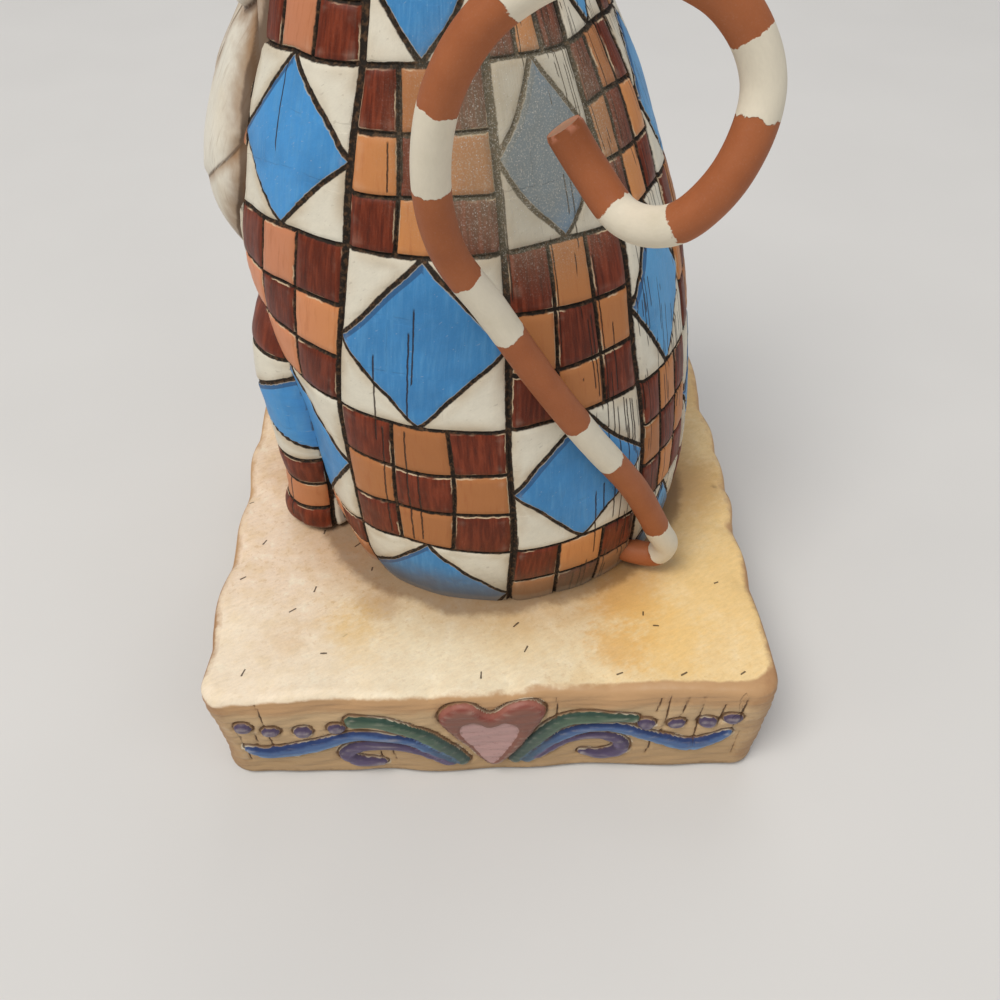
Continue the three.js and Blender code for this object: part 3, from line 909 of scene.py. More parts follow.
def nearest_on(places, route, widths):
    """Signed distance to a tapered line, and how far above its middle a place lies, -1 to 1."""
    route = smooth_profile(route, 6)
    radii = np.interp(np.linspace(0, 1, len(route)), np.linspace(0, 1, len(widths)), widths)
    nearest = np.full(places.shape[:-1], 99.0)
    above = np.zeros(places.shape[:-1])
    for start, end, first, last in zip(route, route[1:], radii, radii[1:]):
        run = end - start
        share = np.clip(((places - start) @ run) / (run @ run), 0, 1)
        off = places - start - share[..., None] * run
        radius = first + share * (last - first)
        distance = np.linalg.norm(off, axis=-1) - radius
        over = off @ np.array([-run[1], run[0]]) / np.linalg.norm(run) * np.sign(run[0] or 1)
        above = np.where(distance < nearest, over / radius, above)
        nearest = np.minimum(nearest, distance)
    return nearest, above


def inside_outline(places, outline):
    """Signed distance to a closed outline, below 0 inside it."""
    outline = smooth_profile(outline[-1:] + outline + outline[:2], 8)[8:-8]
    distance = np.full(places.shape[:-1], 99.0)
    inside = np.zeros(places.shape[:-1], bool)
    for start, end in zip(outline, outline[1:]):
        run = end - start
        share = np.clip(((places - start) @ run) / (run @ run), 0, 1)
        off = places - start - share[..., None] * run
        distance = np.minimum(distance, np.linalg.norm(off, axis=-1))
        crosses = (start[1] > places[..., 1]) != (end[1] > places[..., 1])
        reach = start[0] + (places[..., 1] - start[1]) / np.where(run[1] == 0, 1, run[1]) * run[0]
        inside ^= crosses & (places[..., 0] < reach)
    return np.where(inside, -distance, distance)


def ornament(places, face):
    """Signed distances to each paint of the carved ornament, and the place across a stroke."""
    fields = {name: np.full(places.shape[:-1], 9.0) for name in PAINTS}
    above = np.zeros(places.shape[:-1])
    front = face == FRONT
    for where, strokes in ((front, FRONT_STROKES), (~front, SIDE_STROKES)):
        for name, route, widths in strokes:
            distance, over = nearest_on(places, route, widths)
            others = np.min(list(fields.values()), axis=0)
            above = np.where(where & (distance < others), over, above)
            distance = np.where(where, distance, 9.0)
            fields[name] = np.minimum(fields[name], distance)
    for name, outline in (("heart", HEART), ("heart_middle", HEART_MIDDLE)):
        distance = inside_outline(places, outline)
        fields[name] = np.where(front, distance, 9.0)
    fields["above"] = above
    crack = np.full(places.shape[:-1], 9.0)
    for right, up, far_right, far_up in CRACKS:
        line = [(right, up), ((right + far_right) / 2 + 0.15, (up + far_up) / 2), (far_right, far_up)]
        crack = np.minimum(crack, nearest_on(places, line, [0.1, 0.2, 0.08])[0])
    fields["crack"] = np.where(front, crack, 9.0)
    return fields


def ornament_relief(fields, sizes):
    """How far the ornament stands off the plinth's side, in millimetres."""
    rise = sizes.stroke_rise / MM
    heart = -fields["heart"]
    relief = 1.5 * rise * np.sqrt(np.clip(1 - (1 - np.clip(heart / 1.5, 0, 1)) ** 2, 0, 1))
    relief -= 0.35 * ease(fields["heart_middle"], 0.15, -0.25)
    relief -= 0.3 * np.exp(-((fields["heart_middle"] - 0.1) / 0.25) ** 2)
    strokes = -np.min([fields[name] for name in PAINTS[2:]], axis=0)
    raised = rise * np.sqrt(np.clip(1 - (1 - np.clip(strokes / 1.5, 0, 1)) ** 2, 0, 1))
    relief = np.where(heart > 0, relief, np.maximum(relief, 0) + raised)
    near = np.maximum(strokes, heart)
    return relief - 0.38 * np.exp(-((near + 0.28) / 0.3) ** 2) - 0.3 * ease(fields["crack"], 0.25, -0.1)


def make_plinth(sizes):
    """The plinth: wavy sides with the carved ornament, a soft top edge, an uneven top."""
    courses = np.array(PLINTH_COURSES)
    heights = np.concatenate([[0, 0.5], np.arange(1, 22.6, 0.42), np.linspace(22.8, 25, 9)])
    rounded = np.clip((heights - 22.8) / 2.2, 0, 1)
    insets = np.interp(heights, courses[:, 0], courses[:, 1]) * (1 - rounded)
    insets += 1.5 * (1 - np.sqrt(1 - rounded**2)) * rounded
    rows = np.array([plinth_ring(inset, height) for height, inset in zip(heights, insets)])
    height = heights[:, None] + 0 * rows[..., 0]
    rings = np.dstack([rows[..., :2], height])
    facing, face, along = rows[..., 2:4], rows[..., 4], rows[..., 5]
    fields = ornament(np.stack([along, height], -1), face)
    on_side = ease(height, 0.2, 1.5) * ease(height, 24.2, 22.6)
    push = ornament_relief(fields, sizes) * on_side
    push += (0.22 * wave(rings, (19, 11, 7), 8) + 0.1 * wave(rings * (1, 1, 4), (9, 5), 9)) * on_side
    bearing = np.arctan2(rings[..., 1], rings[..., 0])
    scallop = np.abs(np.sin(bearing * 11 + 0.9 * np.sin(3 * bearing)))
    droop = ease(height, 21, 25) * (1 - scallop)
    rings[..., 2] -= 0.9 * droop
    rings[..., :2] += facing * (push - 0.55 * droop)[..., None]
    rim = rings[-1]
    tops = []
    shares = np.concatenate([[0.992, 0.98, 0.965], np.linspace(0.945, 0.05, 44)])
    for share in shares:
        ring = rim * (share, share, 1)
        settle = ease(share, 1, 0.93)
        away = np.hypot(ring[:, 0] - CAT_PLACE[0], ring[:, 1] - CAT_PLACE[1])
        uneven = 0.14 * wave(ring, (31, 17, 9), 10) - 0.16
        ring[:, 2] = rim[:, 2] * (1 - settle) + PLINTH_HEIGHT * settle
        ring[:, 2] += uneven * ease(away, 30, 37) * settle + 0.33 * ease(away, 38, 33)
        tops.append(ring)
    foot = rings[:1] * (0.5, 0.5, 1)
    points = np.concatenate([foot * (0, 0, 1), foot, rings, tops, tops[-1:] * np.array((0, 0, 1))])
    carved = {}
    for name, field in fields.items():
        carved[name] = np.full(points.shape[:2], 9.0)
        carved[name][2:2 + len(field)] = field
    inward = np.append(1 - shares, 1) * PLINTH_SIDE / 2
    course = np.concatenate([[0, 0], heights, PLINTH_HEIGHT + inward])
    carved["course"] = course[:, None] + np.zeros(points.shape[:2])
    return skin("painted_plinth", points * MM, fields=carved)


# Materials

class Value:
    """A number or colour that changes over a surface, so that node maths reads like sums."""

    def __init__(self, graph, socket):
        self.graph = graph
        self.socket = socket

    def math(self, operation, other=0.0):
        """This value and another one, through a Math node."""
        return self.graph.add("Math", {0: self, 1: other}, operation=operation)

    def __add__(self, other):
        return self.math("ADD", other)

    def __sub__(self, other):
        return self.math("SUBTRACT", other)

    def __rsub__(self, other):
        return self.graph.add("Math", {0: other, 1: self}, operation="SUBTRACT")

    def __mul__(self, other):
        return self.math("MULTIPLY", other)

    def __truediv__(self, other):
        return self.math("DIVIDE", other)

    __radd__ = __add__
    __rmul__ = __mul__

    def least(self, other):
        """The smaller of two values."""
        return self.math("MINIMUM", other)

    def most(self, other):
        """The larger of two values."""
        return self.math("MAXIMUM", other)

    def size(self):
        """The value without its sign."""
        return self.math("ABSOLUTE")

    def whole(self):
        """The value rounded down."""
        return self.math("FLOOR")

    def part(self):
        """What is left of the value above its whole number."""
        return self.math("FRACT")

    def odd(self):
        """0 where the value's whole number is even, and 1 where it is odd."""
        return (self.whole() * 0.5).part() * 2

    def to_whole(self):
        """How far the value is from the nearest whole number."""
        return 0.5 - (self.part() - 0.5).size()

    def ease(self, low, high):
        """0 at low and 1 at high, with soft ends; low may be the larger one."""
        sources = {"Value": self, "From Min": low, "From Max": high}
        return self.graph.add("MapRange", sources, interpolation_type="SMOOTHSTEP")


class Graph:
    """Adds the nodes of one material or node group, and links them."""

    def __init__(self, tree):
        self.tree = tree

    def fill(self, socket, value):
        """Links a value to a socket, or sets a plain number or colour on it."""
        if isinstance(value, Value):
            self.tree.links.new(value.socket, socket)
        elif socket.type == "RGBA":
            socket.default_value = (*value[:3], 1)
        else:
            socket.default_value = value

    def add(self, kind, sources=(), outlet=0, **settings):
        """Adds a node with its settings and sources, and gives one of its outlets."""
        node = self.tree.nodes.new(f"ShaderNode{kind}")
        place = len(self.tree.nodes)
        node.location = (place % 12 * 190, place // 12 * -280)
        for key, setting in settings.items():
            setattr(node, key, setting)
        for key, value in dict(sources).items():
            self.fill(node.inputs[key], value)
        return Value(self, node.outputs[outlet])

    def parts(self, vector):
        """The three numbers of a vector."""
        first = self.add("SeparateXYZ", {0: vector})
        return [Value(self, outlet) for outlet in first.socket.node.outputs]

    def vector(self, x, y, z=0.0):
        """Three numbers as one vector."""
        return self.add("CombineXYZ", {0: x, 1: y, 2: z})

    def stretch(self, vector, x, y, z):
        """A vector with each of its numbers scaled."""
        return self.add("VectorMath", {0: vector, 1: (x, y, z)}, operation="MULTIPLY")

    def away(self, vector, place):
        """The distance of a vector from a place."""
        return self.add("VectorMath", {0: vector, 1: place}, "Value", operation="DISTANCE")

    def place(self):
        """Places on the surface, in millimetres of the row frame."""
        return self.stretch(self.add("TexCoord", outlet="Object"), *[1 / MM] * 3)

    def stored(self, name):
        """A number that the mesh keeps for its points."""
        return self.add("Attribute", outlet="Fac", attribute_name=name)

    def laid(self, name):
        """A UV map of the piece."""
        return self.add("UVMap", uv_map=name)

    def noise(self, vector, scale, detail=2.0, roughness=0.5):
        """Soft noise round 0.5; scale is in waves a millimetre."""
        sources = {"Vector": vector, "Scale": scale, "Detail": detail, "Roughness": roughness}
        return self.add("TexNoise", sources, "Fac")

    def mix(self, share, below, above):
        """Two colours, mixed by a share of the second one."""
        return self.add("Mix", {0: share, 6: below, 7: above}, 2, data_type="RGBA")

    def use(self, effect, outlet=0, **sources):
        """Places a node group; a source's name is its socket's name."""
        return self.add("Group", {key.replace("_", " "): value for key, value in sources.items()},
                        outlet, node_tree=effect)


def new_effect(name, sources, results, build):
    """A shader node group with named sockets. build gets its sources and gives its results."""
    tree = bpy.data.node_groups.new(name, "ShaderNodeTree")
    for labels, side in ((sources, "INPUT"), (results, "OUTPUT")):
        for label, kind in labels.items():
            tree.interface.new_socket(label, in_out=side, socket_type=f"NodeSocket{kind}")
    graph = Graph(tree)
    entry = tree.nodes.new("NodeGroupInput")
    leave = tree.nodes.new("NodeGroupOutput")
    made = build(graph, *(Value(graph, entry.outputs[label]) for label in sources))
    for socket, value in zip(leave.inputs, made):
        graph.fill(socket, value)
    return tree


def wash_and_shade_effect():
    """Dark wash that stays in hollows, also painting their shade, and paint worn bright on ridges, also a
    painted highlight.
    """
    def build(graph, colour, wash, hollow, place, amount):
        blotches = graph.noise(place, 0.5, 3.0)
        # Darker in hollows: dark wash, and painted shade
        pooled_wash_and_shade = (hollow + blotches * 0.25 - 0.125).ease(0.06, 0.34) * amount
        # Lighter on ridges: worn paint, and a painted highlight
        worn = (hollow * -1 + blotches * 0.2 - 0.1).ease(0.12, 0.45) * amount * 0.45
        washed_and_shaded = graph.mix(pooled_wash_and_shade, colour, wash)
        return (graph.mix(worn, washed_and_shaded, linear(240, 228, 205)),)

    sources = {"Colour": "Color", "Wash": "Color", "Hollow": "Float", "Place": "Vector",
               "Amount": "Float"}
    return new_effect("aged wash", sources, {"Colour": "Color"}, build)


def dust_effect():
    """Grey dust with fine pale specks."""
    def build(graph, colour, place, amount):
        film = (graph.noise(place, 0.5, 3.0) * 0.3 + 0.85) * amount * 0.52
        cell = graph.add("TexVoronoi", {"Vector": place, "Scale": 3.4}, "Distance")
        lot = graph.add("TexVoronoi", {"Vector": place, "Scale": 3.4}, "Color")
        specks = (graph.parts(lot)[0] * 0.42 - 0.1 - cell).ease(-0.06, 0.06) * amount
        grit = graph.noise(place, 4.5, 2.0).ease(0.5, 0.68) * amount
        dusted = graph.mix(film, colour, linear(142, 134, 112))
        dusted = graph.mix(grit * 0.4, dusted, linear(190, 184, 170))
        return graph.mix(specks * 0.55, dusted, linear(212, 208, 198)), specks * 0.03

    sources = {"Colour": "Color", "Place": "Vector", "Amount": "Float"}
    return new_effect("settled dust", sources, {"Colour": "Color", "Height": "Float"}, build)


def brush_effect():
    """Uneven paint: streaks that the brush left along its path, and a fine grain."""
    def build(graph, place, shade):
        streaks = graph.noise(place, 1.0, 3.0, 0.6)
        grain = graph.noise(place, 4.0, 2.0)
        tone = 1 + (streaks - 0.5) * shade + (grain - 0.5) * shade * 0.4
        return tone, streaks * 0.05 + grain * 0.012

    sources = {"Place": "Vector", "Shade": "Float"}
    return new_effect("brushed paint", sources, {"Tone": "Float", "Height": "Float"}, build)


def speck_effect():
    """Small dark specks of paint, spattered here and there."""
    def build(graph, place, share):
        cell = graph.add("TexVoronoi", {"Vector": place, "Scale": 0.42}, "Distance")
        lot = graph.add("TexVoronoi", {"Vector": place, "Scale": 0.42}, "Color")
        size = graph.parts(lot)[0] - 1 + share
        return ((size * 0.2 - cell).ease(-0.02, 0.02),)

    return new_effect("spatter", {"Place": "Vector", "Share": "Float"}, {"Mask": "Float"}, build)


def toned(graph, colour, tone):
    """A colour made darker or lighter by a tone round 1."""
    return graph.add("VectorMath", {0: colour, 3: tone}, operation="SCALE")


def new_material(name):
    """An empty node material, and the graph that fills it."""
    material = bpy.data.materials.new(name)
    material.use_nodes = True
    material.node_tree.nodes.clear()
    return Graph(material.node_tree)


def finish_material(graph, colour, roughness, height, shine=0.28):
    """Feeds a material's shader and its outlet. The height is in millimetres."""
    bump = graph.add("Bump", {"Height": height, "Distance": MM, "Strength": 1.0}, "Normal")
    sources = {"Base Color": colour, "Roughness": roughness, "Specular IOR Level": shine, "Normal": bump}
    shader = graph.add("BsdfPrincipled", sources, "BSDF")
    leave = graph.tree.nodes.new("ShaderNodeOutputMaterial")
    graph.fill(leave.inputs["Surface"], shader)


def crack_lines(graph, x, y, rag, share, gap, length):
    """Thin upright cracks of limited length, in some of the cells of a grid of that size."""
    cells = graph.vector(x / gap + rag * 0.05, y / length)
    settings = {"voronoi_dimensions": "2D"}
    middle = graph.add("TexVoronoi", {"Vector": cells, "Scale": 1.0}, "Position", **settings)
    lot = graph.add("TexVoronoi", {"Vector": cells, "Scale": 1.0}, "Color", **settings)
    apart = graph.add("VectorMath", {0: cells, 1: middle}, operation="SUBTRACT")
    aside, along, _ = graph.parts(apart)
    line = (aside.size() * gap + rag * 0.1).ease(0.15, 0.05) * along.size().ease(0.4, 0.36)
    return line * (share - graph.parts(lot)[0]).ease(0, 0.02)


def long_cracks(graph, u, v, rag):
    """The long upright cracks that stand out on the cat's flank."""
    cracks = 0.0
    for across, low, high in COAT_CRACKS:
        line = (u - across + rag * 0.014).size().ease(0.0065, 0.0025)
        half = (high - low) / 2
        line = line * (v - (low + half)).size().ease(half, half - 0.02)
        cracks = line + cracks
    return cracks


def coat_material(colours, effects):
    """The patchwork: nine-patch blocks of brown and tan, and blue diamonds on cream."""
    graph = new_material("patchwork coat")
    place = graph.place()
    u, v, _ = graph.parts(graph.laid("quilt"))
    width, tall, _ = graph.parts(graph.laid("span"))
    rag = graph.noise(place, 0.9, 3.0, 0.6) - 0.5
    slow = graph.noise(place, 0.13, 2.0)
    across, up = u.part(), v.part()
    edge = (u.to_whole() * width - 0.56).least(v.to_whole() * tall - 0.36)
    to_tile = ((u * 3).to_whole() * width).least((v * 3).to_whole() * tall) / 3 - 0.36
    slope = (width * width + tall * tall).math("SQRT")
    outside = ((across - 0.5).size() + (up - 0.5).size() - 0.5) * width * tall / slope

    tile = graph.vector((u * 3).whole(), (v * 3).whole(), 0.5)
    chance = graph.add("TexWhiteNoise", {"Vector": tile}, "Value")
    streaks = graph.noise(graph.vector(u * 36, v * 4.2, chance * 7), 1.0, 3.0, 0.6)
    dark = graph.mix(streaks.ease(0.42, 0.66), colours.dark, colours.dark_streak)
    dark = graph.mix(streaks.ease(0.45, 0.25) * 0.7, dark, linear(64, 24, 14))
    dark = graph.mix(streaks.ease(0.68, 0.76) * 0.3, dark, linear(186, 112, 80))
    tan = graph.mix(chance, colours.tan, linear(198, 132, 78))
    tan = graph.mix(u.ease(1.3, 0.3) * 0.85, tan, linear(214, 140, 104))
    tan = graph.mix(streaks.ease(0.5, 0.78) * 0.5, tan, linear(172, 100, 58))
    is_tan = ((u * 3).whole() + (v * 3).whole()).odd()
    tiles = toned(graph, graph.mix(is_tan, dark, tan), chance * 0.24 + 0.88)
    rims = graph.noise(place, 0.17, 2.0).ease(0.5, 0.62)
    painted = (edge.least(to_tile) + rag * 0.45).ease(0.02, 0.16).most(1 - rims)
    tiles = graph.mix(painted, linear(222, 196, 160), tiles)

    slanted = graph.vector(u * 9 + v * 12, v * 20 - u * 15, slow)
    tone = graph.use(effects["brush"], 0, Place=slanted, Shade=0.16)
    scratches = graph.noise(slanted, 1.6, 2.0).ease(0.66, 0.74)
    near = edge.least(outside.size()).ease(2.4, 0.1) * slow.ease(0.3, 0.7)
    ground = graph.mix(near * 0.5, colours.cream, linear(176, 146, 104))
    ground = graph.mix(scratches * 0.22, ground, linear(120, 100, 76))
    facet = outside.ease(-1.12, -0.98) * across.ease(0.52, 0.5) * up.ease(0.48, 0.5)
    aside = (u - 1.7).size().ease(0.5, 1.1)
    blue = graph.mix(aside * 0.75, colours.blue, linear(74, 154, 218))
    # Painted light: from column 2.6 on, the diamonds are painted a lighter blue
    blue = graph.mix(u.ease(2.6, 3.4) * 0.35, blue, linear(122, 190, 226))
    blue = graph.mix(streaks.ease(0.4, 0.75) * 0.5, blue, linear(96, 160, 208))
    blue = graph.mix(slow.ease(0.6, 0.3) * 0.4, blue, linear(50, 112, 164))
    blue = graph.mix(facet * 0.85, blue, linear(42, 84, 128))
    settled = graph.away(place, DUSTY_PLACE).ease(21, 6) * 0.97 + 0.03
    blue = graph.mix(settled * 0.75, blue, linear(122, 138, 142))
    blue = graph.mix(graph.noise(slanted, 2.4, 1.0).ease(0.7, 0.78) * 0.15, blue, colours.cream)
    patch = graph.mix((rag * 0.4 - outside).ease(0.32, 0.46), ground, blue)
    patch = toned(graph, patch, tone)

    plain = (u.whole() + v.whole()).odd()
    coat = graph.mix(plain, tiles, patch)
    few = crack_lines(graph, u * 24, v * 24, rag, u.ease(1.6, 3.2) * 0.4 + 0.06, 2.7, 19)
    clusters = graph.noise(graph.vector(u * 1.9, v * 1.3), 1.0, 1.0).ease(0.42, 0.62) * u.ease(2.3, 2.8)
    many = crack_lines(graph, u * 24, v * 24, rag, clusters * 0.85, 1.15, 14)
    cracks = few.most(many).most(long_cracks(graph, u, v, rag))
    coat = graph.mix(cracks * 0.9, coat, linear(48, 26, 18))
    carved = edge.least(to_tile + plain * 9)
    outline = (outside.size() + rag * 0.35).ease(0.44, 0.26) * plain
    groove = (carved + rag * 0.3).ease(0.06, -0.1).most(outline)
    ink = graph.mix(graph.noise(place, 1.7, 2.0).ease(0.45, 0.75), colours.groove, linear(92, 66, 44))
    hollow = graph.stored("hollow")
    # Dark wash in the hollows, partly painted shade, and ridges worn pale, partly a painted highlight
    coat = graph.use(effects["wash"], 0, Colour=coat, Wash=linear(58, 38, 26), Hollow=hollow,
                     Place=place, Amount=0.8)
    right, _, height = graph.parts(place)
    # Painted shade: the coat is greyed low down, fading out by 40 mm up, except at its far left
    painted_low_shade = (height + slow * 5 + rag * 2).ease(40, 29) * right.ease(-24, -15)
    coat = graph.mix(painted_low_shade * 0.7, coat, linear(112, 98, 80))
    coat = graph.mix(groove, coat, ink)
    dusted = graph.use(effects["dust"], 0, Colour=coat, Place=place, Amount=settled)
    grit = graph.use(effects["dust"], 1, Colour=coat, Place=place, Amount=settled)
    roughness = graph.noise(place, 0.8, 2.0) * 0.16 + 0.36 + groove * 0.3 + settled * 0.25
    bumps = streaks * 0.06 + painted * 0.05 + grit - cracks * 0.14
    finish_material(graph, dusted, roughness, bumps, 0.2)


def fur_material(colours, effects):
    """The chest fur: brushed off-white with brown wash and painted brown shade between its locks."""
    graph = new_material("chest fur")
    place = graph.place()
    hollow = graph.stored("hollow")
    along = graph.stretch(place, 1.3, 1.3, 0.14)
    tone = graph.use(effects["brush"], 0, Place=along, Shade=0.2)
    stroke = graph.use(effects["brush"], 1, Place=along, Shade=0.2)
    warm = graph.noise(place, 0.1, 3.0).ease(0.4, 0.7)
    fur = toned(graph, graph.mix(warm * 0.4, colours.fur, linear(214, 196, 164)), tone)
    rag = graph.noise(place, 0.5, 3.0) - 0.5
    edge, under, _ = graph.parts(graph.laid("quilt"))
    off_coat, across, _ = graph.parts(graph.laid("span"))
    hairs = graph.noise(graph.vector(across * 1.6, graph.parts(place)[2] * 0.12), 1.0, 3.0, 0.6)
    fur = graph.mix(hairs.ease(0.56, 0.74) * 0.35, fur, linear(150, 126, 98))
    # Painted brown shade: along the lock edges, below the tips and sides of upper locks, and beside the coat
    fur = graph.mix((edge + rag).ease(1.3, 0.1) * 0.3, fur, linear(142, 110, 80))
    fur = graph.mix((under + rag * 2).ease(3.2, 0.2) * 0.65, fur, linear(156, 120, 82))
    fur = graph.mix((off_coat + rag * 2).ease(3.2, 0.4) * 0.7, fur, linear(144, 104, 64))
    # Dark wash in the hollows, partly painted shade, and ridges worn pale, partly a painted highlight
    fur = graph.use(effects["wash"], 0, Colour=fur, Wash=linear(92, 62, 42), Hollow=hollow,
                    Place=place, Amount=0.6)
    lines = (edge + rag * 0.3).ease(0.62, 0.12).most((off_coat + rag * 0.5).ease(0.75, 0.35))
    fur = graph.mix(lines * 0.68, fur, linear(66, 46, 32))
    finish_material(graph, fur, 0.46 + lines * 0.3, stroke * 1.4)


def banded(graph, along, bands, rag):
    """1 on bands of a rod or a head, whose edges the brush left ragged."""
    outside = []
    for start, end in bands:
        outside.append((along - (start + end) / 2).size() - (end - start) / 2)
    nearest = outside[0]
    for other in outside[1:]:
        nearest = nearest.least(other)
    return (nearest + rag).ease(0.06, -0.06)


def tail_material(colours, effects):
    """The rod: matt terracotta, ragged off-white bands, a pale end and dark specks."""
    graph = new_material("banded rod")
    place = graph.place()
    turn, along, _ = graph.parts(graph.laid("rod"))
    rag = graph.noise(place, 0.75, 3.0, 0.6) - 0.5
    band = banded(graph, along, TAIL_BANDS, rag * 1.5)
    drift = graph.vector(turn * 12, along * 0.35)
    tone = graph.use(effects["brush"], 0, Place=drift, Shade=0.12)
    stroke = graph.use(effects["brush"], 1, Place=drift, Shade=0.12)
    blotch = graph.noise(place, 0.2, 3.0)
    clay = graph.mix(blotch.ease(0.35, 0.7) * 0.3, colours.terracotta, linear(182, 110, 68))
    clay = graph.mix(blotch.ease(0.42, 0.2) * 0.35, clay, linear(142, 78, 46))
    white = graph.mix(blotch.ease(0.5, 0.8) * 0.5, colours.band, linear(212, 202, 176))
    rod = toned(graph, graph.mix(band, clay, white), tone)
    length = float(rod_line(0.5)[1][-1])
    end = (along + rag * 0.12).ease(length + 0.06, length + 0.2)
    rod = graph.mix(end * 0.8, rod, linear(214, 172, 140))
    worn = along.ease(length - 0.9, length - 0.2) * (rag + 0.5).ease(0.45, 0.6)
    rod = graph.mix(worn * 0.6, rod, linear(226, 150, 118))
    spots = graph.use(effects["spatter"], 0, Place=place, Share=0.2)
    rod = graph.mix(spots * 0.75, rod, linear(70, 46, 34))
    rod = graph.use(effects["dust"], 0, Colour=rod, Place=place, Amount=0.05)
    finish_material(graph, rod, 0.5 + band * 0.06 + blotch * 0.1, stroke * 0.8 + band * 0.06)


def cat_frame(graph):
    """Places on the head in the cat's own frame: forward, aside to both hands, and up."""
    local = graph.add("Mapping", {
        "Vector": graph.add("TexCoord", outlet="Object"),
        "Location": tuple(part * MM for part in CAT_PLACE),
        "Rotation": (0, 0, CAT_HEADING), "Scale": (MM, MM, MM)}, vector_type="TEXTURE")
    return graph.parts(local)


def head_material(colours, effects):
    """The head: terracotta with off-white stripes, a cream muzzle, amber eyes, pink ears."""
    graph = new_material("painted head")
    place = graph.place()
    forward, aside, height = cat_frame(graph)
    apart = aside.size()
    rag = graph.noise(place, 0.7, 3.0, 0.6) - 0.5
    local = graph.vector(forward, apart, height)
    tone = graph.use(effects["brush"], 0, Place=graph.stretch(local, 0.5, 1.2, 0.5), Shade=0.14)
    stroke = graph.use(effects["brush"], 1, Place=graph.stretch(local, 0.5, 1.2, 0.5), Shade=0.14)
    blotch = graph.noise(place, 0.15, 3.0)
    clay = graph.mix(blotch.ease(0.35, 0.7) * 0.6, colours.terracotta, linear(204, 124, 84))
    stripes = banded(graph, forward * 0.75 + apart * 0.12 + height * 0.3, HEAD_STRIPES, rag * 1.2)
    stripes = stripes * height.ease(119, 124)
    coat = graph.mix(stripes, clay, colours.band)
    cheek = graph.away(local, (23, 17, 113)) / 12
    pads = graph.away(graph.stretch(local, 1, 1, 1.2), (34, 0, 138)) / 12.5
    muzzle = pads.least(cheek + 0.1)
    blaze = (apart + (height - 128).size() * 0.16 - forward * 0.02) / 3.4 + forward.ease(26, 22) * 9
    white = (muzzle.least(blaze + height.ease(140, 143) * 9) + rag * 0.16).ease(1.04, 0.98)
    coat = graph.mix(white, coat, colours.fur)
    throat = (height + rag * 3).ease(110, 107)
    coat = graph.mix(throat, coat, colours.fur)

    side, rise = apart - EYE[1][1], height - EYE[1][2]
    side = side * math.cos(EYE_TURN) - (forward - EYE[1][0]) * math.sin(EYE_TURN)
    rise = rise + side * side * 0.04
    front = forward.ease(24, 26)
    eye = (side * side / 4.5**2 + rise * rise / 3.1**2).math("SQRT")
    iris = (side * side / 3.4**2 + rise * rise / 3.0**2).math("SQRT")
    pupil = (side * side / 1.0**2 + rise * rise / 2.6**2).math("SQRT")
    # A painted glint: a white spot up and aside in each eye
    painted_glint = ((side - 0.9) * (side - 0.9) + (rise - 1.2) * (rise - 1.2)).math("SQRT")
    amber = graph.mix(iris.ease(0.3, 1.0), linear(206, 176, 70), linear(96, 128, 58))
    lens = graph.mix(iris.ease(0.96, 1.02), amber, linear(40, 28, 20))
    lens = graph.mix(pupil.ease(1.04, 0.94), lens, linear(12, 10, 10))
    lens = graph.mix(painted_glint.ease(0.62, 0.5), lens, linear(245, 242, 235))
    lids = eye.ease(1.32, 1.22) * front
    coat = graph.mix((eye.ease(1.6, 1.5) * front) * 0.75, coat, colours.fur)
    coat = graph.mix(lids, coat, linear(38, 26, 20))
    coat = graph.mix(eye.ease(1.03, 0.99) * front, coat, lens)
    smile = 114.2 - apart * 0.62 + apart * apart * 0.085
    mouth = (height - smile).size().ease(0.62, 0.36) * apart.ease(7.6, 6.8)
    cleft = apart.ease(0.5, 0.3) * height.ease(113.6, 114.2) * height.ease(119, 118)
    coat = graph.mix(mouth.most(cleft) * front * 0.85, coat, linear(64, 36, 28))
    nose = graph.away(graph.stretch(local, 1, 0.75, 1.15), (38.6, 0, NOSE[1][2] * 1.15)) + rag * 0.2
    coat = graph.mix(nose.ease(2.75, 2.5), coat, linear(178, 96, 88))

    ear = graph.add("Mapping", {"Vector": local, "Location": (EAR_FORWARD, EAR_ASIDE, EAR_BASE),
                                "Rotation": (-EAR_LEAN, 0, 0)}, vector_type="TEXTURE")
    ear = graph.add("Mapping", {"Vector": ear, "Rotation": (0, 0, EAR_TURN)}, vector_type="TEXTURE")
    depth, breadth, rise = graph.parts(ear)
    inner = (breadth.size() + rise * 0.36 + rag).ease(7.8, 7.2) * depth.ease(-2.9, -2.6) * depth.ease(1.6, 0.8)
    inner = inner * rise.ease(1.5, 3)
    coat = graph.mix(inner * forward.ease(6, 9) * 0.9, coat, linear(212, 156, 140))
    hollow = graph.stored("hollow")
    coat = toned(graph, coat, tone)
    # Dark wash in the hollows, partly painted shade, and ridges worn pale, partly a painted highlight
    coat = graph.use(effects["wash"], 0, Colour=coat, Wash=linear(86, 48, 30), Hollow=hollow,
                     Place=place, Amount=0.8)
    wet = eye.ease(1.03, 0.99) * front
    finish_material(graph, coat, 0.52 - wet * 0.36, stroke * (1 - wet))


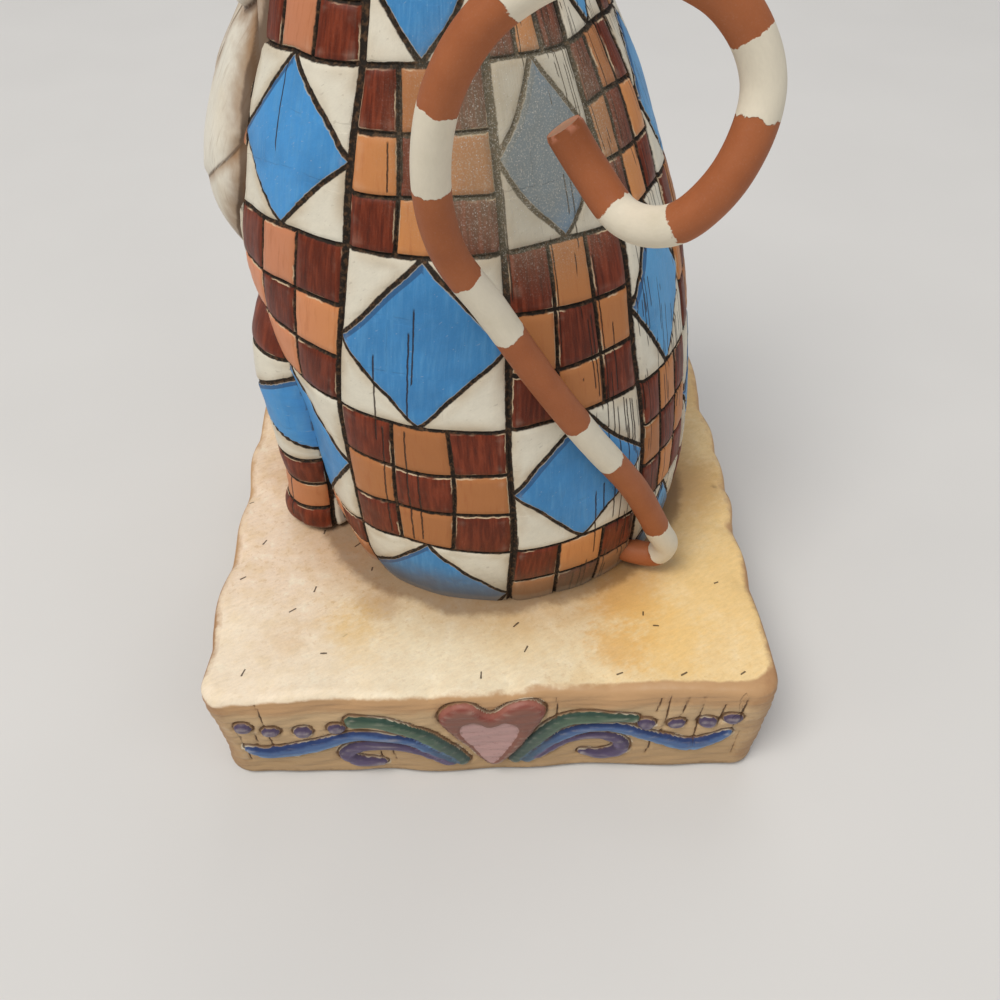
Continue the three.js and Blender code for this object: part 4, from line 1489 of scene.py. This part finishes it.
def plinth_material(colours, effects):
    """The plinth: cream with ochre stains and dark dashes; carved paints on its sides."""
    graph = new_material("painted plinth")
    place = graph.place()
    x, y, z = graph.parts(place)
    rag = graph.noise(place, 0.7, 3.0, 0.6) - 0.5
    slow = graph.noise(place, 0.045, 3.0, 0.55)
    mottle = graph.noise(place, 0.33, 4.0, 0.6)
    hollow = graph.stored("hollow")
    base = graph.mix(x.ease(-8, -40) * 0.8, colours.plinth, linear(240, 216, 192))
    base = graph.mix(mottle.ease(0.42, 0.72) * 0.5, base, linear(222, 190, 140))
    base = graph.mix(mottle.ease(0.45, 0.3) * 0.5, base, linear(250, 240, 214))
    scuffs = graph.noise(place, 1.1, 4.0, 0.7).ease(0.54, 0.68)
    base = graph.mix(scuffs * 0.42, base, linear(204, 168, 120))
    swirl = graph.noise(graph.vector(x * 0.35 + y * 0.2, y * 0.9 - x * 0.5), 1.0, 3.0, 0.65) - 0.5
    # Stains on the top, and the cat's painted shadow at its right
    for middle, reach, patch_colour, share in PLINTH_STAINS_AND_SHADOW:
        near = graph.away(place, middle) + (rag + swirl) * reach * 0.7 + (slow - 0.5) * reach * 2
        base = graph.mix(near.ease(reach, reach * 0.25) * share, base, linear(*patch_colour))
    course = graph.stored("course")
    # Painted highlight: a pale band along the top's front edge, fading out towards the right
    pale = (course + rag * 3).ease(44, 27) * y.ease(-20, -34) * x.ease(30, -10)
    base = graph.mix(pale * 0.5, base, linear(250, 236, 208))
    base = graph.mix((x + (slow - 0.5) * 30).ease(4, 34) * 0.55, base, linear(240, 200, 128))
    swept = graph.vector(x * 0.5 + y * 0.35, y * 1.6 - x * 0.9)
    base = toned(graph, base, graph.use(effects["brush"], 0, Place=swept, Shade=0.26))
    back = (y + (slow - 0.5) * 40).ease(0, 40)
    base = graph.mix(back * 0.35, base, linear(212, 180, 134))
    shade = graph.away(graph.stretch(place, 1, 1, 0), (*CAT_PLACE[:2], 0)) + rag * 1.5 + (slow - 0.5) * 7
    base = graph.mix(shade.ease(46, 34.5) * 0.5, base, linear(176, 132, 86))
    base = graph.mix(shade.ease(37.4, 35.2) * 0.6, base, linear(96, 64, 40))

    cell = graph.stretch(place, 0.105, 0.105, 0)
    flat = {"voronoi_dimensions": "2D"}
    middle = graph.add("TexVoronoi", {"Vector": cell, "Scale": 1.0}, "Position", **flat)
    lot = graph.parts(graph.add("TexVoronoi", {"Vector": cell, "Scale": 1.0}, "Color", **flat))
    apart = graph.parts(graph.add("VectorMath", {0: cell, 1: middle}, operation="SUBTRACT"))
    turn = lot[0] * 2 - 0.2
    cosine, sine = turn.math("COSINE"), turn.math("SINE")
    length = (apart[0] * cosine + apart[1] * sine).size() / 0.105
    breadth = (apart[1] * cosine - apart[0] * sine).size() / 0.105
    dash = (breadth + rag * 0.2).ease(0.17, 0.07) * (length - lot[2] * 0.5).ease(0.45, 0.3)
    dash = dash * lot[1].ease(0.34, 0.36)
    base = graph.mix(dash * 0.85 * z.ease(23.8, 24.3), base, linear(66, 46, 32))

    strokes = graph.use(effects["brush"], 0, Place=graph.stretch(place, 0.12, 0.12, 0.9), Shade=0.3)
    side = graph.mix((z + rag * 3).ease(3, 19), linear(186, 153, 112), linear(200, 169, 128))
    side = toned(graph, side, strokes)
    brim = (z + (slow - 0.5) * 6 + rag * 2.2).ease(19, 21.5)
    side = graph.mix(brim * 0.6, side, linear(190, 142, 96))
    edge = (course - x * y.ease(-42, -46) * 0.027 + (mottle - 0.5) * 1.8).ease(24.3, 25.1)
    ends = (x.size() + (mottle - 0.5) * 8).ease(42, 48) * y.ease(0, -30)
    side = graph.mix(ends * 0.6, side, linear(146, 100, 64))
    foot = (z + rag * 1.6).ease(1.8, 0.3)
    side = graph.mix(foot * 0.7, side, linear(92, 66, 40))
    coat = graph.mix(edge, side, base)

    above = graph.stored("above")
    fields = {name: graph.stored(name) for name in PAINTS}
    smear = graph.use(effects["brush"], 0, Place=graph.stretch(place, 0.3, 0.3, 0.6), Shade=0.25)
    stroke_edge = fields["green"].least(fields["blue"]).least(fields["purple"])
    nearest = stroke_edge.least(fields["heart"])
    rim = (nearest + rag * 0.5).ease(0.75, 0.35) * graph.noise(place, 0.16, 1.0).ease(0.47, 0.56)
    coat = graph.mix(rim * 0.9, coat, linear(246, 234, 206))
    outline = (nearest + rag * 0.2 - 0.2).size().ease(0.24, 0.1)
    coat = graph.mix(outline * 0.75, coat, linear(70, 50, 36))
    # Each paint: its colour, a lighter copy that paints light on a stroke's lower half, and a darker copy that
    # paints shade on its upper half
    paints = {
        "green": (colours.scroll_green, linear(110, 132, 108), linear(52, 74, 62)),
        "blue": (colours.scroll_blue, linear(110, 146, 186), linear(44, 62, 106)),
        "purple": (colours.scroll_purple, linear(114, 102, 130), linear(76, 64, 88)),
    }
    for name, (body, light, upper_shade_colour) in paints.items():
        colour = graph.mix((above + rag * 0.6).ease(0.1, -0.6), body, light)
        colour = graph.mix((above + rag * 0.5).ease(0.3, 0.8), colour, upper_shade_colour)
        if name != "purple":
            foot_shade = x.size().ease(15, 5)
            colour = graph.mix(foot_shade * 0.7, colour, linear(74, 88, 84))
        coat = graph.mix((fields[name] + rag * 0.18).ease(0.05, -0.07), coat, toned(graph, colour, smear))
    # Painted light on the heart's rounded top edge: a redder band, and a pale highlight close to its outline
    painted_top_light = fields["heart"].ease(-1.5, -0.5) * z.ease(16, 20)
    heart = graph.mix(painted_top_light * 0.7, colours.heart, linear(128, 54, 44))
    heart = graph.mix(fields["heart"].ease(-0.6, -0.3) * z.ease(18, 22) * 0.25, heart, linear(210, 150, 128))
    coat = graph.mix((fields["heart"] + rag * 0.15).ease(0.04, -0.06), coat, toned(graph, heart, smear))
    pink = graph.mix(graph.noise(place, 1.3, 2.0).ease(0.6, 0.72) * 0.4, colours.heart_middle,
                     linear(150, 108, 104))
    coat = graph.mix((fields["heart_middle"] + rag * 0.6).ease(0.04, -0.06), coat, pink)
    crack = (graph.stored("crack") + rag * 0.12).ease(0.06, -0.06)
    coat = graph.mix(crack * 0.85, coat, linear(58, 38, 26))
    # Dark wash in the hollows, partly painted shade, and ridges worn pale, partly a painted highlight
    coat = graph.use(effects["wash"], 0, Colour=coat, Wash=linear(112, 76, 46), Hollow=hollow,
                     Place=place, Amount=0.7)
    spots = graph.use(effects["spatter"], 0, Place=place, Share=0.16)
    coat = graph.mix(spots * 0.5, coat, linear(110, 80, 54))
    roughness = 0.5 + mottle * 0.14 - (fields["heart"].least(stroke_edge)).ease(0.1, -0.2) * 0.12
    height = graph.use(effects["brush"], 1, Place=graph.stretch(place, 0.5, 0.5, 0.9), Shade=0.3)
    finish_material(graph, coat, roughness, height + mottle * 0.12 - dash * 0.15)


def floor_material():
    """A plain pale floor."""
    graph = new_material("pale floor")
    grain = graph.noise(graph.place(), 0.02, 2.0)
    tone = graph.mix(grain, linear(214, 212, 208), linear(220, 218, 214))
    finish_material(graph, tone, 0.7 + grain * 0.05, grain * 0.01)


def build_materials(colours):
    """Makes the figurine's materials and the effects that they share."""
    effects = {"wash": wash_and_shade_effect(), "dust": dust_effect(), "brush": brush_effect(),
               "spatter": speck_effect()}
    for make in (coat_material, fur_material, head_material, tail_material, plinth_material):
        make(colours, effects)


# Operators

def finish_piece(piece, node):
    """Marks a piece's hollows for its wash and painted shade, smooths its shading, and puts it in its place.
    """
    mark_hollows(piece)
    select_only(piece)
    bpy.ops.object.shade_smooth_by_angle(angle=SMOOTH_ANGLE)
    hand_over(piece, node)


def material_named(name):
    """A finish of the figurine, made with all the others when the first one is wanted."""
    if name not in bpy.data.materials:
        build_materials(bpy.context.scene.figurine_colours)
    return bpy.data.materials[name]


class FIGURINE_OT_add_plinth(bpy.types.Operator):
    """Add the square plinth with its heart, scrolls and dots"""

    bl_idname = "figurine.add_plinth"
    bl_label = "Add Plinth"

    def execute(self, context):
        plinth = make_plinth(context.scene.figurine_sizes)
        paint(plinth, material_named("painted plinth"))
        finish_piece(plinth, "plinth")
        return {"FINISHED"}


class FIGURINE_OT_add_cat(bpy.types.Operator):
    """Add the cat: patchwork body and legs, chest fur and head, as one casting"""

    bl_idname = "figurine.add_cat"
    bl_label = "Add Cat"

    def execute(self, context):
        cat = make_body_parts(context.scene.figurine_sizes)
        join_solids(cat, make_head())
        finish_piece(cat, "cat")
        return {"FINISHED"}


class FIGURINE_OT_add_tail(bpy.types.Operator):
    """Add the bent rod that is the cat's tail"""

    bl_idname = "figurine.add_tail"
    bl_label = "Add Tail"

    def execute(self, context):
        tail = make_tail()
        paint(tail, material_named("banded rod"))
        finish_piece(tail, "tail")
        return {"FINISHED"}


class FIGURINE_OT_set_stage(bpy.types.Operator):
    """Set a pale floor, soft studio light and the camera"""

    bl_idname = "figurine.set_stage"
    bl_label = "Set Stage"

    def execute(self, context):
        scene = context.scene
        bpy.ops.object.select_all(action="DESELECT")
        bpy.ops.mesh.primitive_plane_add(size=3)
        floor = context.object
        floor.name = "floor"
        floor.data.transform(Matrix.Translation((0, 0, FLOOR_DROP)))
        floor_material()
        paint(floor, bpy.data.materials["pale floor"])
        for name, place, size, power, colour in LIGHTS:
            aim = Vector(LIGHT_AIM) - Vector(place)
            turn = aim.to_track_quat("-Z", "Y").to_euler()
            bpy.ops.object.light_add(type="AREA", location=place, rotation=turn)
            light = context.object
            light.name = name
            light.data.size = size
            light.data.energy = power
            light.data.color = colour
        scene.world = bpy.data.worlds.new("studio")
        scene.world.use_nodes = True
        background = scene.world.node_tree.nodes["Background"]
        background.inputs["Color"].default_value = (*WORLD_COLOUR, 1)
        background.inputs["Strength"].default_value = WORLD_STRENGTH
        bpy.ops.object.camera_add()
        camera = context.object
        camera.name = "camera"
        camera.data.lens = CAMERA_LENS
        camera.data.clip_start = 10 * MM
        camera.matrix_world = Matrix(CAMERA_PLACE)
        scene.camera = camera
        scene.view_settings.view_transform = "Standard"
        return {"FINISHED"}


class FIGURINE_PT_panel(bpy.types.Panel):
    """Lists the figurine's pieces, sizes and colours"""

    bl_label = "Patchwork Cat"
    bl_idname = "FIGURINE_PT_panel"
    bl_space_type = "VIEW_3D"
    bl_region_type = "UI"
    bl_category = "Figurine"

    def draw(self, context):
        for operator in OPERATORS:
            self.layout.operator(operator.bl_idname)
        for group in (context.scene.figurine_sizes, context.scene.figurine_colours):
            for key in group.__annotations__:
                self.layout.prop(group, key)


OPERATORS = (
    FIGURINE_OT_add_plinth, FIGURINE_OT_add_cat, FIGURINE_OT_add_tail, FIGURINE_OT_set_stage)
CLASSES = (FigurineSizes, FigurineColours, *OPERATORS, FIGURINE_PT_panel)


def register():
    """Makes the operators, the panel and the figurine's settings known to Blender."""
    for one in CLASSES:
        bpy.utils.register_class(one)
    bpy.types.Scene.figurine_sizes = bpy.props.PointerProperty(type=FigurineSizes)
    bpy.types.Scene.figurine_colours = bpy.props.PointerProperty(type=FigurineColours)


def unregister():
    """Takes all of that away again."""
    del bpy.types.Scene.figurine_colours
    del bpy.types.Scene.figurine_sizes
    for one in reversed(CLASSES):
        bpy.utils.unregister_class(one)


def main():
    """Makes the whole figurine and its stage."""
    register()
    bpy.ops.figurine.add_plinth()
    bpy.ops.figurine.add_cat()
    bpy.ops.figurine.add_tail()
    bpy.ops.figurine.set_stage()


if __name__ == "__main__":
    main()
